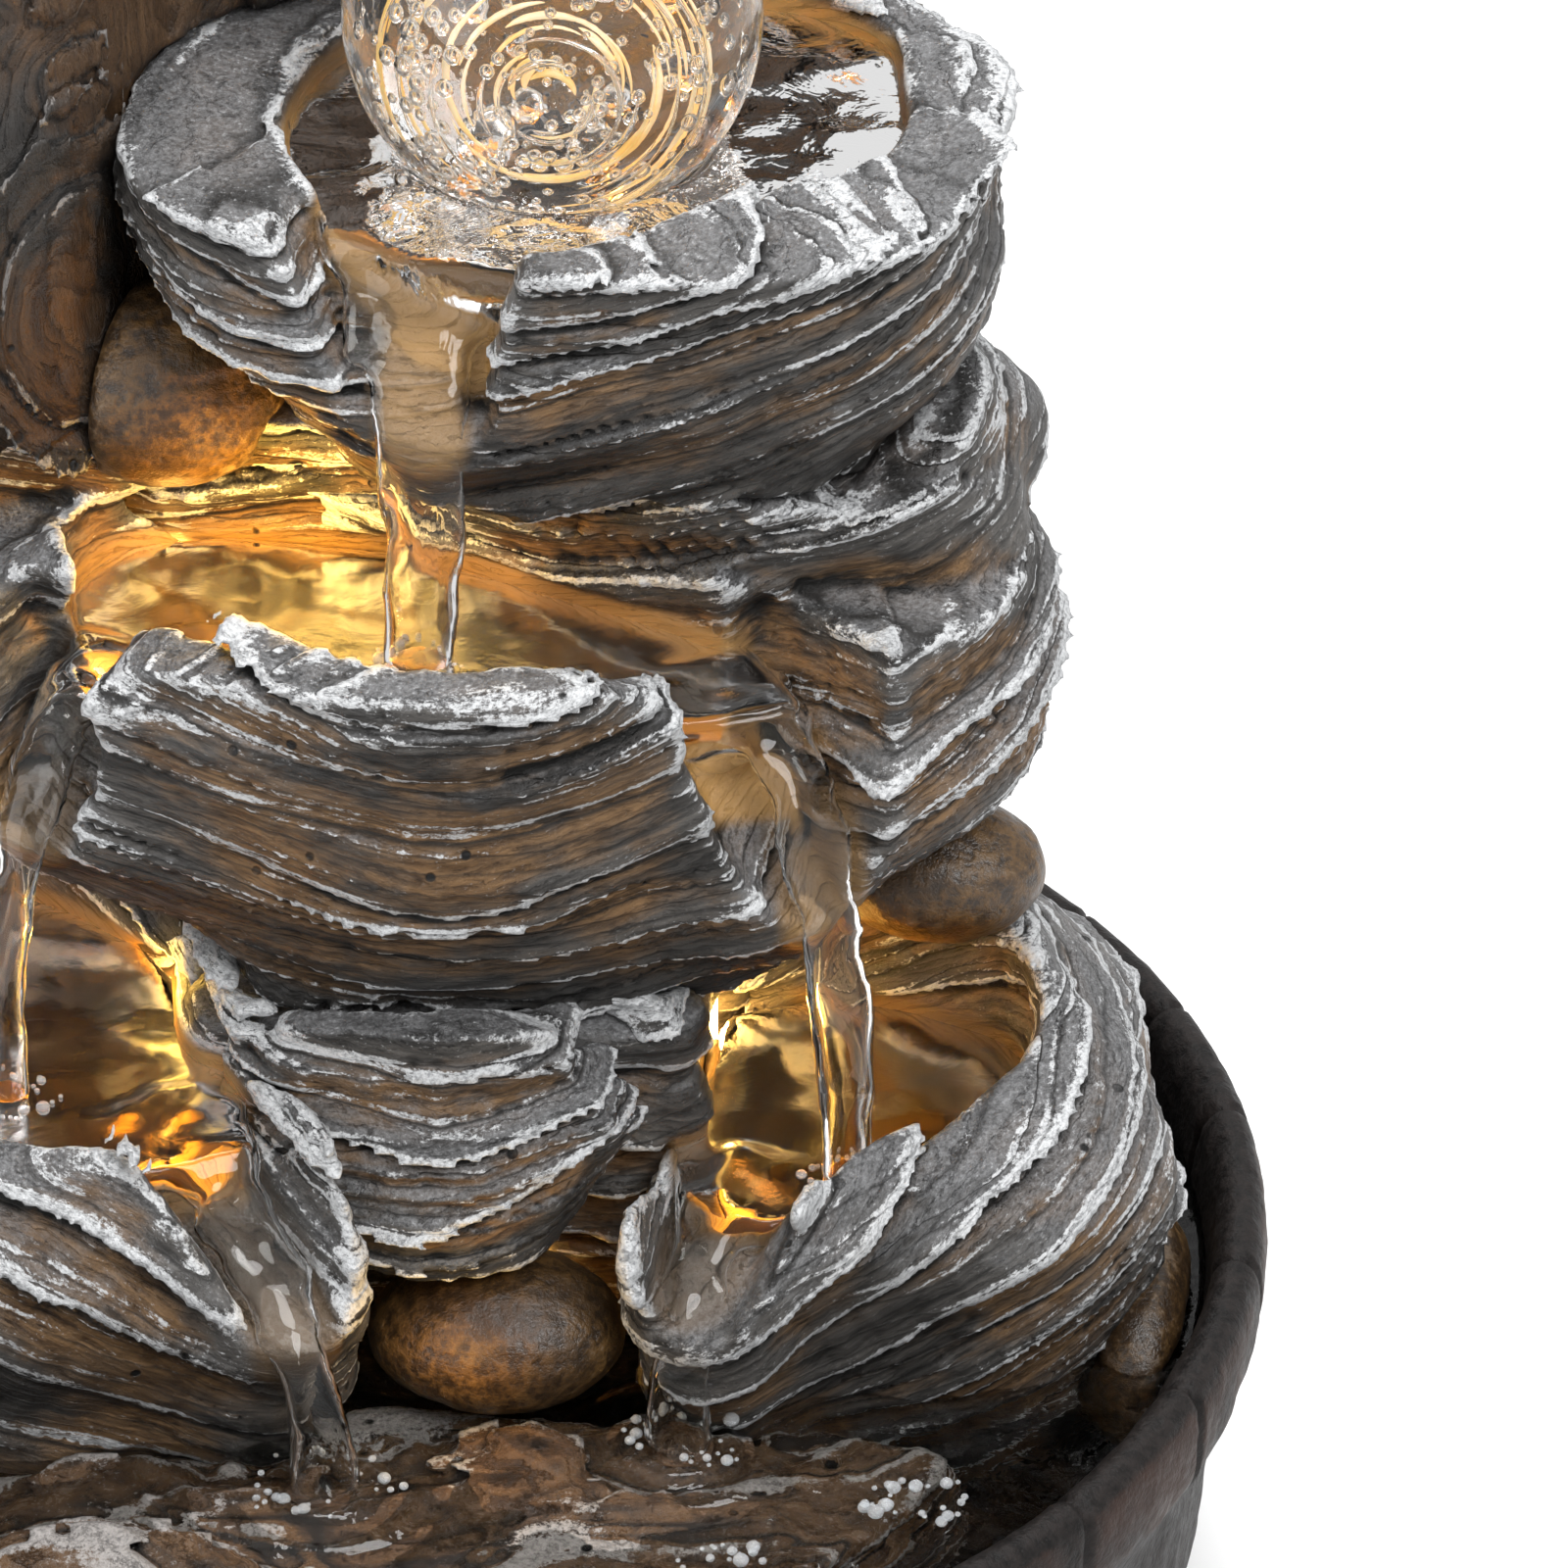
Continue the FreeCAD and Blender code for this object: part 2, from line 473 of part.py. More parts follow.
def make_pump():
    """The pump's fixed and moving pieces, as {node: solid}."""
    pump = {}
    housing = pump_box(MOTOR_Y0, MOTOR_Y1).cut(pump_box(MOTOR_Y0 - 1, MOTOR_Y1 - 3, PUMP_WALL))
    housing = housing.fuse(rotor(WELL_R + 1.5, WELL_END - 3, MOTOR_Y1)).cut(rotor(WELL_R, WELL_END, 60))
    housing = housing.cut(rotor(3.5, WELL_END - 1.5, WELL_END)).cut(seal_ring())
    for x, y in CUP_AT:
        housing = housing.cut(post(x, y, 1.85, PUMP_Z0 - 1, PUMP_Z0 + PUMP_WALL))
    pump["pump_housing"] = housing.cut(Part.makeCylinder(LEAD_R + SNUG, 20, V(-20, 27, 46), V(1, 0, 0)))

    y_plate = CHAMBER_Y1 - 1.5
    chamber = pump_box(MOTOR_Y1, CHAMBER_Y1).cut(rotor(11.6, MOTOR_Y1, y_plate)).cut(seal_ring())
    chamber = chamber.cut(rotor(6.5, y_plate, CHAMBER_Y1))
    for i in range(3):
        spoke = box(PUMP_X - 1, PUMP_X + 1, y_plate, CHAMBER_Y1, ROTOR_Z, ROTOR_Z + 7)
        spoke.rotate(V(PUMP_X, 0, ROTOR_Z), V(0, 1, 0), 120 * i)
        chamber = chamber.fuse(spoke)
    chamber = chamber.cut(rotor(3.0, y_plate - 1, CHAMBER_Y1 + 1))
    y_mid = (MOTOR_Y1 + y_plate) / 2
    y_out = (MOTOR_Y1 + CHAMBER_Y1) / 2
    chamber = chamber.fuse(post(PUMP_X, y_out, SPIGOT_R, PUMP_Z1, PUMP_Z1 + 13))
    pump["pump_chamber"] = chamber.cut(post(PUMP_X, y_mid, 2.8, ROTOR_Z + 8, PUMP_Z1 + 20))
    pump["seal_ring"] = seal_ring()

    rear = rotor(3.5, WELL_END - 1.5, WELL_END + 1).cut(rotor(SHAFT_R, 0, 99))
    front = rotor(3.0, y_plate - 0.5, CHAMBER_Y1).cut(rotor(SHAFT_R, 0, 99))
    pump["shaft_bush_rear"], pump["shaft_bush_front"] = rear, front
    pump["rotor_shaft"] = rotor(SHAFT_R, WELL_END - 1.5, CHAMBER_Y1)

    bore = rotor(SHAFT_R + SNUG, 0, 99)
    magnet_y = (WELL_END + 1.6, MOTOR_Y1 - 0.6)
    pump["rotor_magnet"] = rotor(WELL_R - 0.5, *magnet_y).cut(bore)
    disc_y, tip_y = MOTOR_Y1 + 0.4, y_plate - 0.9
    impeller = rotor(4.2, magnet_y[1], tip_y).fuse(rotor(10.0, disc_y, disc_y + 1.2))
    for i in range(5):
        blade = box(PUMP_X + 3.5, PUMP_X + 9.8, disc_y, tip_y, ROTOR_Z - 0.6, ROTOR_Z + 0.6)
        blade.rotate(V(PUMP_X + 3.5, 0, ROTOR_Z), V(0, 1, 0), 28)
        blade.rotate(V(PUMP_X, 0, ROTOR_Z), V(0, 1, 0), 72 * i)
        impeller = impeller.fuse(blade)
    pump["impeller"] = impeller.cut(bore)

    well = rotor(WELL_R + 1.5, 0, 99)
    stack = box(PUMP_X - 14.5, PUMP_X + 14.5, STATOR_Y0, STATOR_Y1, YOKE_Z0, ROTOR_Z + 9)
    stack = stack.cut(box(PUMP_X - 9, PUMP_X + 9, 0, 99, YOKE_Z0 + 6, ROTOR_Z - 10.5))
    pump["stator_core"] = stack.cut(well).cut(box(PUMP_X - 2, PUMP_X + 2, 0, 99, ROTOR_Z, 99))
    coil = box(PUMP_X - 7.5, PUMP_X + 7.5, STATOR_Y0 - 3, STATOR_Y1 + 2, YOKE_Z0 - 2.5, YOKE_Z0 + 8.5)
    pump["stator_coil"] = coil.cut(pump["stator_core"]).cut(well)
    resin = pump_box(MOTOR_Y0 + 0.5, MOTOR_Y1 - 3, PUMP_WALL).cut(rotor(WELL_R + 1.5, WELL_END - 3, 99))
    resin = resin.cut(pump["stator_core"]).cut(pump["stator_coil"])
    for x, y in CUP_AT:
        resin = resin.cut(post(x, y, 1.85, PUMP_Z0, PUMP_Z0 + PUMP_WALL + 0.5))
    pump["motor_resin"] = resin
    return {name: one_solid(shape, name) for name, shape in pump.items()}


def make_intake_cover():
    """Slotted cap over the pump's intake side, with a window that the dial opens and closes."""
    cap = pump_box(CHAMBER_Y1 + SNUG, INTAKE_Y1).cut(pump_box(CHAMBER_Y1 - 1, INTAKE_Y1 - 2, 2.0))
    for i in range(-3, 4):
        x = PUMP_X + 4.2 * i
        cap = cap.cut(box(x - 0.9, x + 0.9, INTAKE_Y1 - 3, INTAKE_Y1 + 1, PUMP_Z0 + 6, PUMP_Z0 + 15))
    cap = cap.cut(rod(PUMP_X, ROTOR_Z, 2.0 + SNUG, INTAKE_Y1 - 3, INTAKE_Y1 + 1))
    for i in range(2):
        window = box(PUMP_X + 2.8, PUMP_X + 5.8, INTAKE_Y1 - 3, INTAKE_Y1 + 1, ROTOR_Z - 2.5, ROTOR_Z + 2.5)
        window.rotate(V(PUMP_X, 0, ROTOR_Z), V(0, 1, 0), 180 * i)
        cap = cap.cut(window)
    return cap


def make_flow_dial():
    """Disc with a grip bar, turning on a stub in the intake cover; its two windows match the cover's."""
    y = INTAKE_Y1 + 0.2
    dial = rod(PUMP_X, ROTOR_Z, 7.5, y, y + 1.6).fuse(rod(PUMP_X, ROTOR_Z, 2.0, INTAKE_Y1 - 3.5, y))
    for i in range(2):
        window = box(PUMP_X + 2.8, PUMP_X + 5.8, y - 1, y + 3, ROTOR_Z - 2.5, ROTOR_Z + 2.5)
        window.rotate(V(PUMP_X, 0, ROTOR_Z), V(0, 1, 0), 180 * i)
        dial = dial.cut(window)
    return dial.fuse(box(PUMP_X - 1, PUMP_X + 1, y, y + 4.5, ROTOR_Z - 7, ROTOR_Z + 7))


def make_suction_feet():
    """Four rubber cups whose stems push into the pump's base."""
    feet = []
    for x, y in CUP_AT:
        cup = Part.makeCone(5.5, 3.0, PUMP_Z0 - FLOOR_Z, V(x, y, FLOOR_Z), V(0, 0, 1))
        cup = cup.cut(Part.makeCone(4.3, 1.0, 2.0, V(x, y, FLOOR_Z), V(0, 0, 1)))
        feet.append(cup.fuse(post(x, y, 1.8, PUMP_Z0 - 1, PUMP_Z0 + PUMP_WALL)))
    return feet


# ---------------------------------------------------------------- leads, clipped along the cavity's walls
def lead_routes():
    """Each lead from its lamp or the pump to the junction box, as {name: points}."""
    x0, x1, y0, y1, z0, z1 = JUNCTION
    back = {name: at - way * length for name, (at, way, length) in LAMPS.items()}
    return {
        "pump": [V(PUMP_X - PUMP_W / 2 + 1, 27, 46), V(-16, 27, 46), V(-23, 34, 52), V(-25, 50, 64),
                 V(-25, 62, 74), V(-25, 67, 84), V(-25, 67, z0)],
        "left": [back["left"], V(-6, 12, 82), V(-6, 20, 81), V(-18, 34, 79), V(-20.5, 50, 78),
                 V(-20.5, 62, 80), V(-20.5, 67, 86), V(-20.5, 67, z0)],
        "front": [back["front"], V(12, 17, 56), V(0, 28, 62), V(-12, 42, 69), V(-16, 56, 75),
                  V(-16, 66, 83), V(-16, 67, z0)],
        "right": [back["right"], V(18, 14, 74), V(12, 22, 75), V(0, 36, 77), V(-9, 52, 79),
                  V(-11, 64, 82), V(-11, 67, 88), V(-11, 67, z0)],
        "ball": [back["ball"], V(32, 62, 132), V(24, 66, 118), V(12, 70, 105), V(3, 70, 101), V(x1, 70, 101)],
        "middle": [back["middle"], V(-29, 57, 127), V(-26, 64, 121), V(-22, 67, 114), V(-22, 67, z1)],
    }


def make_junction():
    """Sealed box the leads meet in, glued to the cavity's wall."""
    x0, x1, y0, y1, z0, z1 = JUNCTION
    shell = box(*JUNCTION)
    shell = shell.makeFillet(1.5, shell.Edges)
    return shell.cut(box(x0 + 2, x1 - 2, y0 + 2, y1 - 2, z0 + 2, z1 - 2))


# ---------------------------------------------------------------- the whole fountain
def main():
    os.makedirs("parts", exist_ok=True)
    basin = make_basin()
    save("basin", basin)
    save("foot_pads", *make_feet())
    for name, solid in make_rocks(basin).items():
        save(name, solid)
    save("cord_grommet", make_grommet())
    save("glass_ball", Part.makeSphere(BALL_R, BALL_C))
    save("ball_nozzle", make_nozzle())
    save("supply_tube", make_supply_tube())
    for name, solid in make_pump().items():
        save(name, solid)
    save("intake_cover", make_intake_cover())
    save("flow_dial", make_flow_dial())
    save("suction_feet", *make_suction_feet())
    save("junction_box", make_junction())
    for name, points in lead_routes().items():
        save("lead_" + name, tube(points, LEAD_R))
    for name in LAMPS:
        barrel, lens, board = make_lamp(name)
        save("lamp_" + name, barrel)
        save("lamp_lens_" + name, lens)
        save("lamp_board_" + name, board)


main()
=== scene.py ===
import json
import math

import bpy
import numpy as np
import openvdb as vdb
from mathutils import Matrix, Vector

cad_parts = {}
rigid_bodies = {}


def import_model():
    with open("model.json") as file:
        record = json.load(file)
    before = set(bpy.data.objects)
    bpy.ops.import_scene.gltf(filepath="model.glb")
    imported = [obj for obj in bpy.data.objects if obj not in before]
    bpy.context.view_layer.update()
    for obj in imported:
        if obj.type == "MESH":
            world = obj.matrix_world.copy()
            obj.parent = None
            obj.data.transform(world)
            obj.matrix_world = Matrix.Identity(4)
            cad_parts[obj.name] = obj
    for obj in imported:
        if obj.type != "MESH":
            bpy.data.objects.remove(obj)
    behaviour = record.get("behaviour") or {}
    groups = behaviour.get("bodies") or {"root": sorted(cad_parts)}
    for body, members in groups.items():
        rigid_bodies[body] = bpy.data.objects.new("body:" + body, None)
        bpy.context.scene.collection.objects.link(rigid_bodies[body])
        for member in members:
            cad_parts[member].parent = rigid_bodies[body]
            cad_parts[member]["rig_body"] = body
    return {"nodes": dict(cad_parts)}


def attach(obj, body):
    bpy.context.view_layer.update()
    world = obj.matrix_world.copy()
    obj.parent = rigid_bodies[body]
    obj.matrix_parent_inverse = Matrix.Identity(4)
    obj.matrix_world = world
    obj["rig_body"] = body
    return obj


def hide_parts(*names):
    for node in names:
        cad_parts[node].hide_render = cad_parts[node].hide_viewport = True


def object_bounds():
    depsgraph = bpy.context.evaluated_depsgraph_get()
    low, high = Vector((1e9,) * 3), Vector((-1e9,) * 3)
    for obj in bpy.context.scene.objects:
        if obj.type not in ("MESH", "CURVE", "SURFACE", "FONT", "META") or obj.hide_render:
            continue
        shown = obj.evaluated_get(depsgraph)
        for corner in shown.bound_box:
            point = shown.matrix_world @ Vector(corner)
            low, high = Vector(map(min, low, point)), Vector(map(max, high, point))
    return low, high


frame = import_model()
cad_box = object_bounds()

MM = 0.001                      # scene units are metres; the shapes below are worked out in millimetres


# ---------------------------------------------------------------- noise
class Noise:
    """Smooth value noise on a repeating lattice; the same numbers each run for a seed."""

    SIZE = 40

    def __init__(self, seed):
        rng = np.random.default_rng(seed)
        self.table = rng.uniform(-1, 1, self.SIZE ** 3).astype(np.float32)

    def __call__(self, p, scale):
        """Noise from about -1 to 1 at the points p (N, 3), with features about scale mm apart."""
        q = (p / np.asarray(scale, np.float32)).astype(np.float32) + 1000.0
        cell = np.floor(q).astype(np.int32)
        f = q - cell
        f = f * f * (3.0 - 2.0 * f)
        n = self.SIZE
        low = cell % n
        high = (low + 1) % n
        ix = (low[:, 0] * n * n, high[:, 0] * n * n)
        iy = (low[:, 1] * n, high[:, 1] * n)
        iz = (low[:, 2], high[:, 2])
        out = np.zeros(len(q), np.float32)
        for a in (0, 1):
            wa = f[:, 0] if a else 1 - f[:, 0]
            for b in (0, 1):
                wb = wa * (f[:, 1] if b else 1 - f[:, 1])
                base = ix[a] + iy[b]
                out += wb * (1 - f[:, 2]) * self.table[base + iz[0]]
                out += wb * f[:, 2] * self.table[base + iz[1]]
        return out


# ---------------------------------------------------------------- volumes
class Volume:
    """A signed distance field in mm on a grid: negative inside, and clear to +-band."""

    def __init__(self, nodes, voxel, band=5.0, grow=4.0):
        meshes = [self.triangles(node) for node in nodes]
        everything = np.concatenate([points for points, _ in meshes])
        pad = int(math.ceil(grow / voxel))
        low = np.floor(everything.min(0) / voxel).astype(int) - pad
        high = np.ceil(everything.max(0) / voxel).astype(int) + pad
        self.voxel = voxel
        self.band = band
        self.origin = low * voxel
        self.d = np.full(tuple(high - low + 1), band, np.float32)
        for points, faces in meshes:
            grid = vdb.FloatGrid.createLevelSetFromPolygons(
                points, triangles=faces, transform=vdb.createLinearTransform(voxelSize=voxel),
                halfWidth=band / voxel)
            d = np.empty_like(self.d)
            grid.copyToArray(d, ijk=tuple(int(v) for v in low))
            self.d = np.minimum(self.d, d)

    @staticmethod
    def triangles(node):
        mesh = frame["nodes"][node].data
        co = np.empty(len(mesh.vertices) * 3, np.float32)
        mesh.vertices.foreach_get("co", co)
        mesh.calc_loop_triangles()
        tri = np.empty(len(mesh.loop_triangles) * 3, np.int32)
        mesh.loop_triangles.foreach_get("vertices", tri)
        return co.reshape(-1, 3).astype(np.float64) / MM, tri.reshape(-1, 3).astype(np.uint32)

    def near(self):
        """Mask and places of the cells close to the surface."""
        mask = np.abs(self.d) < self.band - 0.01
        index = np.argwhere(mask)
        return mask, (index * self.voxel + self.origin).astype(np.float32)

    def blur(self, passes):
        for _ in range(passes):
            self.d = softened(self.d)

    def polygons(self):
        grid = vdb.FloatGrid(self.band)
        grid.copyFromArray(self.d)
        points, quads = grid.convertToQuads(0.0)
        return np.asarray(points) * self.voxel + self.origin, np.asarray(quads)

    def sample(self, p):
        """The field at the points p, trilinear."""
        q = (p - self.origin) / self.voxel
        top = np.array(self.d.shape) - 1.001
        q = np.clip(q, 0, top)
        i = np.floor(q).astype(int)
        f = q - i
        out = 0
        for a in (0, 1):
            for b in (0, 1):
                for c in (0, 1):
                    w = ((f[:, 0] if a else 1 - f[:, 0]) * (f[:, 1] if b else 1 - f[:, 1])
                         * (f[:, 2] if c else 1 - f[:, 2]))
                    out = out + w * self.d[i[:, 0] + a, i[:, 1] + b, i[:, 2] + c]
        return out


def softened(d):
    """A field averaged with its neighbours, 1-2-1 along each axis."""
    for axis in range(3):
        padded = np.concatenate([np.take(d, [0], axis), d, np.take(d, [-1], axis)], axis)
        a, b, c = (np.take(padded, np.arange(k, k + d.shape[axis]), axis) for k in range(3))
        d = (a + 2 * b + c) * 0.25
    return d


def box_blur(a, radius):
    """Mean of a over a cube of the given radius in cells, three axes in turn."""
    for axis in range(3):
        pad = [(0, 0)] * 3
        pad[axis] = (radius + 1, radius)
        c = np.cumsum(np.pad(a, pad, mode="edge"), axis=axis, dtype=np.float64)
        n = a.shape[axis]
        hi = np.take(c, np.arange(2 * radius + 1, 2 * radius + 1 + n), axis)
        lo = np.take(c, np.arange(0, n), axis)
        a = ((hi - lo) / (2 * radius + 1)).astype(np.float32)
    return a


# ---------------------------------------------------------------- pools and streams
SPLASH, SPLASH_WET = 8.0, 0.6   # how far round a stream the rock is wet, and how wet

BOWL_CUP = [(61, 50), (58, 37), (50, 28), (39, 20), (18, 14), (4, 17), (-6, 25), (-13, 43),
            (-8, 64), (8, 76), (30, 81), (50, 76), (60, 64)]
MIDDLE_POOL = [(47, -5), (38, -8), (31, -9), (10, -10), (-2, -9), (-15, -4), (-26, 1), (-36, 8),
               (-39, 20), (-32, 30), (-20, 31), (4, 27), (20, 18), (38, 7)]
LEFT_POOL = [(-18, -26), (-34, -33), (-50, -32), (-68, -25), (-78, -9), (-78, 8), (-66, 24),
             (-48, 26), (-34, 16), (-27, 4), (-21, -12)]
RIGHT_POOL = [(77, 0), (75, -10), (67, -18), (55, -24), (44, -27), (36, -22), (34, -14), (38, 4),
              (41, 14), (52, 18), (63, 15), (73, 9)]

# each stream: (x, y, z, half width) along its middle
BALL_STREAM = [(2, 36, 179.5, 11), (3, 25, 179, 10.5), (3.4, 16, 170, 8), (4, 9.5, 161, 5.6),
               (4, 5.5, 151, 5), (3.8, 4.2, 142, 4.6), (3.6, 3.6, 133.5, 5.0)]
MIDDLE_RIGHT_STREAM = [(38, 4, 132.6, 6), (45, -6, 130, 5.5), (50, -13, 119, 4.6), (52, -17, 106, 4.0),
                       (53.5, -19, 95, 3.4), (54, -19.5, 85, 3.2), (54, -19.5, 75.5, 3.8)]
MIDDLE_LEFT_STREAM = [(-34, 8, 132.6, 5), (-39, -4, 130, 4.6), (-43, -12, 119, 4.0),
                      (-45, -15.5, 108, 3.4), (-45.5, -17, 97, 3.0), (-45.5, -17, 85.5, 3.6)]
LEFT_STREAM = [(-28, -18, 84.6, 6), (-21, -29, 82.5, 5.6), (-14, -39, 74, 4.8), (-10, -45, 66, 4.2),
               (-8.5, -47.5, 59, 3.8), (-8, -48.5, 51.5, 4.4)]
RIGHT_STREAM = [(42, -15, 74.4, 5), (38, -25, 73, 4.8), (35.5, -33, 68, 4.2), (34.5, -38.5, 61, 3.6),
                (34, -40, 51.5, 4.0)]

# (outline from above, bed, water level, what runs out of it)
POOLS = [(BOWL_CUP, 164, 181.2, [BALL_STREAM[:4]]),
         (MIDDLE_POOL, 116, 133.6, [MIDDLE_LEFT_STREAM[:3], MIDDLE_RIGHT_STREAM[:4]]),
         (LEFT_POOL, 68, 85.6, [LEFT_STREAM[:4]]),
         (RIGHT_POOL, 60, 75.4, [RIGHT_STREAM[:3]])]


def outline_field(outline, x, y):
    """Signed distance in the plane from a closed outline, negative inside."""
    a = np.array(outline, np.float32)
    b = np.roll(a, -1, 0)
    best = np.full(x.shape, 1e9, np.float32)
    inside = np.zeros(x.shape, bool)
    for (x0, y0), (x1, y1) in zip(a, b):
        dx, dy = x1 - x0, y1 - y0
        t = np.clip(((x - x0) * dx + (y - y0) * dy) / (dx * dx + dy * dy), 0, 1)
        best = np.minimum(best, np.hypot(x - x0 - t * dx, y - y0 - t * dy))
        if y0 != y1:
            inside ^= ((y0 > y) != (y1 > y)) & (x < (x1 - x0) * (y - y0) / (y1 - y0) + x0)
    return np.where(inside, -best, best)


# ---------------------------------------------------------------- rock shapes
class Strata:
    """Beds of slate: a warped height, cut into uneven shelves whose edges come and go along the rock.

    up is the way the beds are stacked; bow lifts them to both sides of the middle.
    """

    COUNT = 400

    def __init__(self, seed, period, depth, warp, up=(0, 0, 1), bow=0.0, middle=0.0):
        rng = np.random.default_rng(seed)
        self.noise = Noise(seed)
        self.depth, self.warp, self.up, self.bow, self.middle = depth, warp, up, bow, middle
        self.edges = np.cumsum(period * rng.uniform(0.35, 1.65, self.COUNT)) - 150.0
        self.skew = np.where(rng.uniform(0, 1, self.COUNT) < 0.75, 0.08, 0.88)
        self.reach = rng.uniform(0.15, 1.0, self.COUNT)

    def height(self, p):
        n = self.noise
        h = p @ np.asarray(self.up, np.float32)
        h -= self.bow * (np.sqrt(1 + ((p[:, 0] - self.middle) / 15) ** 2) - 1)
        return h + self.warp * n(p, (40, 40, 28)) + 0.38 * self.warp * n(p + 517.0, (15, 15, 8))

    def bed(self, h):
        """Which bed a height lies in, as a number plus how far up in it."""
        i = np.clip(np.searchsorted(self.edges, h), 1, self.COUNT - 1)
        t = (h - self.edges[i - 1]) / (self.edges[i] - self.edges[i - 1])
        return i, t

    def push(self, p):
        """How far the surface stands out at each point, in mm, in and out about even."""
        i, t = self.bed(self.height(p))
        s = self.skew[i]
        shelf = np.where(t < s, t / s, (1 - t) / (1 - s)) ** 0.8
        q = p.copy()
        q[:, 2] = i * 97.0
        here = self.reach[i] + 0.9 * self.noise(q, (19, 19, 97))
        return (self.depth * (np.clip(here, 0.0, 1.35) * shelf - 0.4)).astype(np.float32)


def smooth_step(x, low, high):
    t = np.clip((x - low) / (high - low), 0, 1)
    return t * t * (3 - 2 * t)


def placed(name, data):
    """An object for the data, put in the scene."""
    obj = bpy.data.objects.new(name, data)
    bpy.context.scene.collection.objects.link(obj)
    return obj


def mesh_object(name, points, faces, attributes=None):
    """A smooth-shaded mesh in metres from points in mm, with per-vertex float attributes."""
    mesh = bpy.data.meshes.new(name)
    points = np.asarray(points, np.float64) * MM
    mesh.vertices.add(len(points))
    mesh.vertices.foreach_set("co", points.ravel())
    faces = np.asarray(faces, np.int32)
    sides = faces.shape[1]
    mesh.loops.add(faces.size)
    mesh.loops.foreach_set("vertex_index", faces.ravel())
    mesh.polygons.add(len(faces))
    mesh.polygons.foreach_set("loop_start", np.arange(len(faces), dtype=np.int32) * sides)
    mesh.polygons.foreach_set("use_smooth", np.ones(len(faces), bool))
    mesh.update(calc_edges=True)
    mesh.validate()
    for key, values in (attributes or {}).items():
        layer = mesh.attributes.new(key, "FLOAT", "POINT")
        layer.data.foreach_set("value", np.asarray(values, np.float32))
    return placed(name, mesh)


def mixed_object(name, points, faces):
    """A smooth-shaded mesh in metres from points in mm and faces of any number of sides."""
    mesh = bpy.data.meshes.new(name)
    mesh.from_pydata((points * MM).tolist(), [], faces)
    mesh.polygons.foreach_set("use_smooth", np.ones(len(faces), bool))
    return placed(name, mesh)


def relief(volume, points, radius):
    """How much each point stands out of its surroundings: above 0 on a ridge, below 0 in a hollow."""
    solid = np.clip(0.5 - volume.d / volume.voxel, 0, 1).astype(np.float32)
    kept = volume.d
    volume.d = box_blur(solid, max(1, int(round(radius / volume.voxel))))
    value = 0.5 - volume.sample(points)
    volume.d = kept
    return value


def soaked(p):
    """How wet the rock is: 1 under a pool, SPLASH_WET round a spout, 0 on dry faces."""
    wet = np.zeros(len(p), np.float32)
    for outline, low, level, spill in POOLS:
        side = outline_field(outline, p[:, 0], p[:, 1])
        here = smooth_step(side, 4.0, 0.0) * smooth_step(p[:, 2], level + 4.0, level + 0.5)
        wet = np.maximum(wet, here * (p[:, 2] > low))
        for path in spill:
            for a, b in zip(path[:-1], path[1:]):
                a, b = np.array(a[:3]), np.array(b[:3])
                t = np.clip((p - a) @ (b - a) / ((b - a) @ (b - a)), 0, 1)
                off = np.linalg.norm(p - a - t[:, None] * (b - a), axis=1)
                wet = np.maximum(wet, SPLASH_WET * smooth_step(off, SPLASH, 0.5 * SPLASH))
    return wet.astype(np.float32)


DOOR_LOW, DOOR_HIGH = (-26, 70, 78), (26, 130, 135)     # a box round the rear opening
HOLLOW_X, HOLLOW_BACK, HOLLOW_TOP = (-31, 35), 79.5, 138        # as far as the hollow in the core goes
HOLLOW_FRONT, HOLLOW_STEP = (3, 38), 84                 # its front wall below and above a step


def doorway(p):
    """1 along the edges of the rear opening, where rock and cover keep their exact shape and slide freely."""
    off = np.maximum(np.array(DOOR_LOW) - p, p - np.array(DOOR_HIGH)).max(1)
    far, close = np.where(off > 0, 10.0, 3.5), np.where(off > 0, 5.0, 1.0)
    return smooth_step(np.abs(off), far, close).astype(np.float32)


def inner_wall(p):
    """1 on the walls of the hollow core, which stay plain so the pump and its cover stand free of them."""
    x, y, z = p.T
    front = np.where(z < HOLLOW_STEP, *HOLLOW_FRONT)
    off = np.maximum.reduce([HOLLOW_X[0] - x, x - HOLLOW_X[1], front - y, y - HOLLOW_BACK, z - HOLLOW_TOP])
    return smooth_step(off, 2.0, 0.5).astype(np.float32)


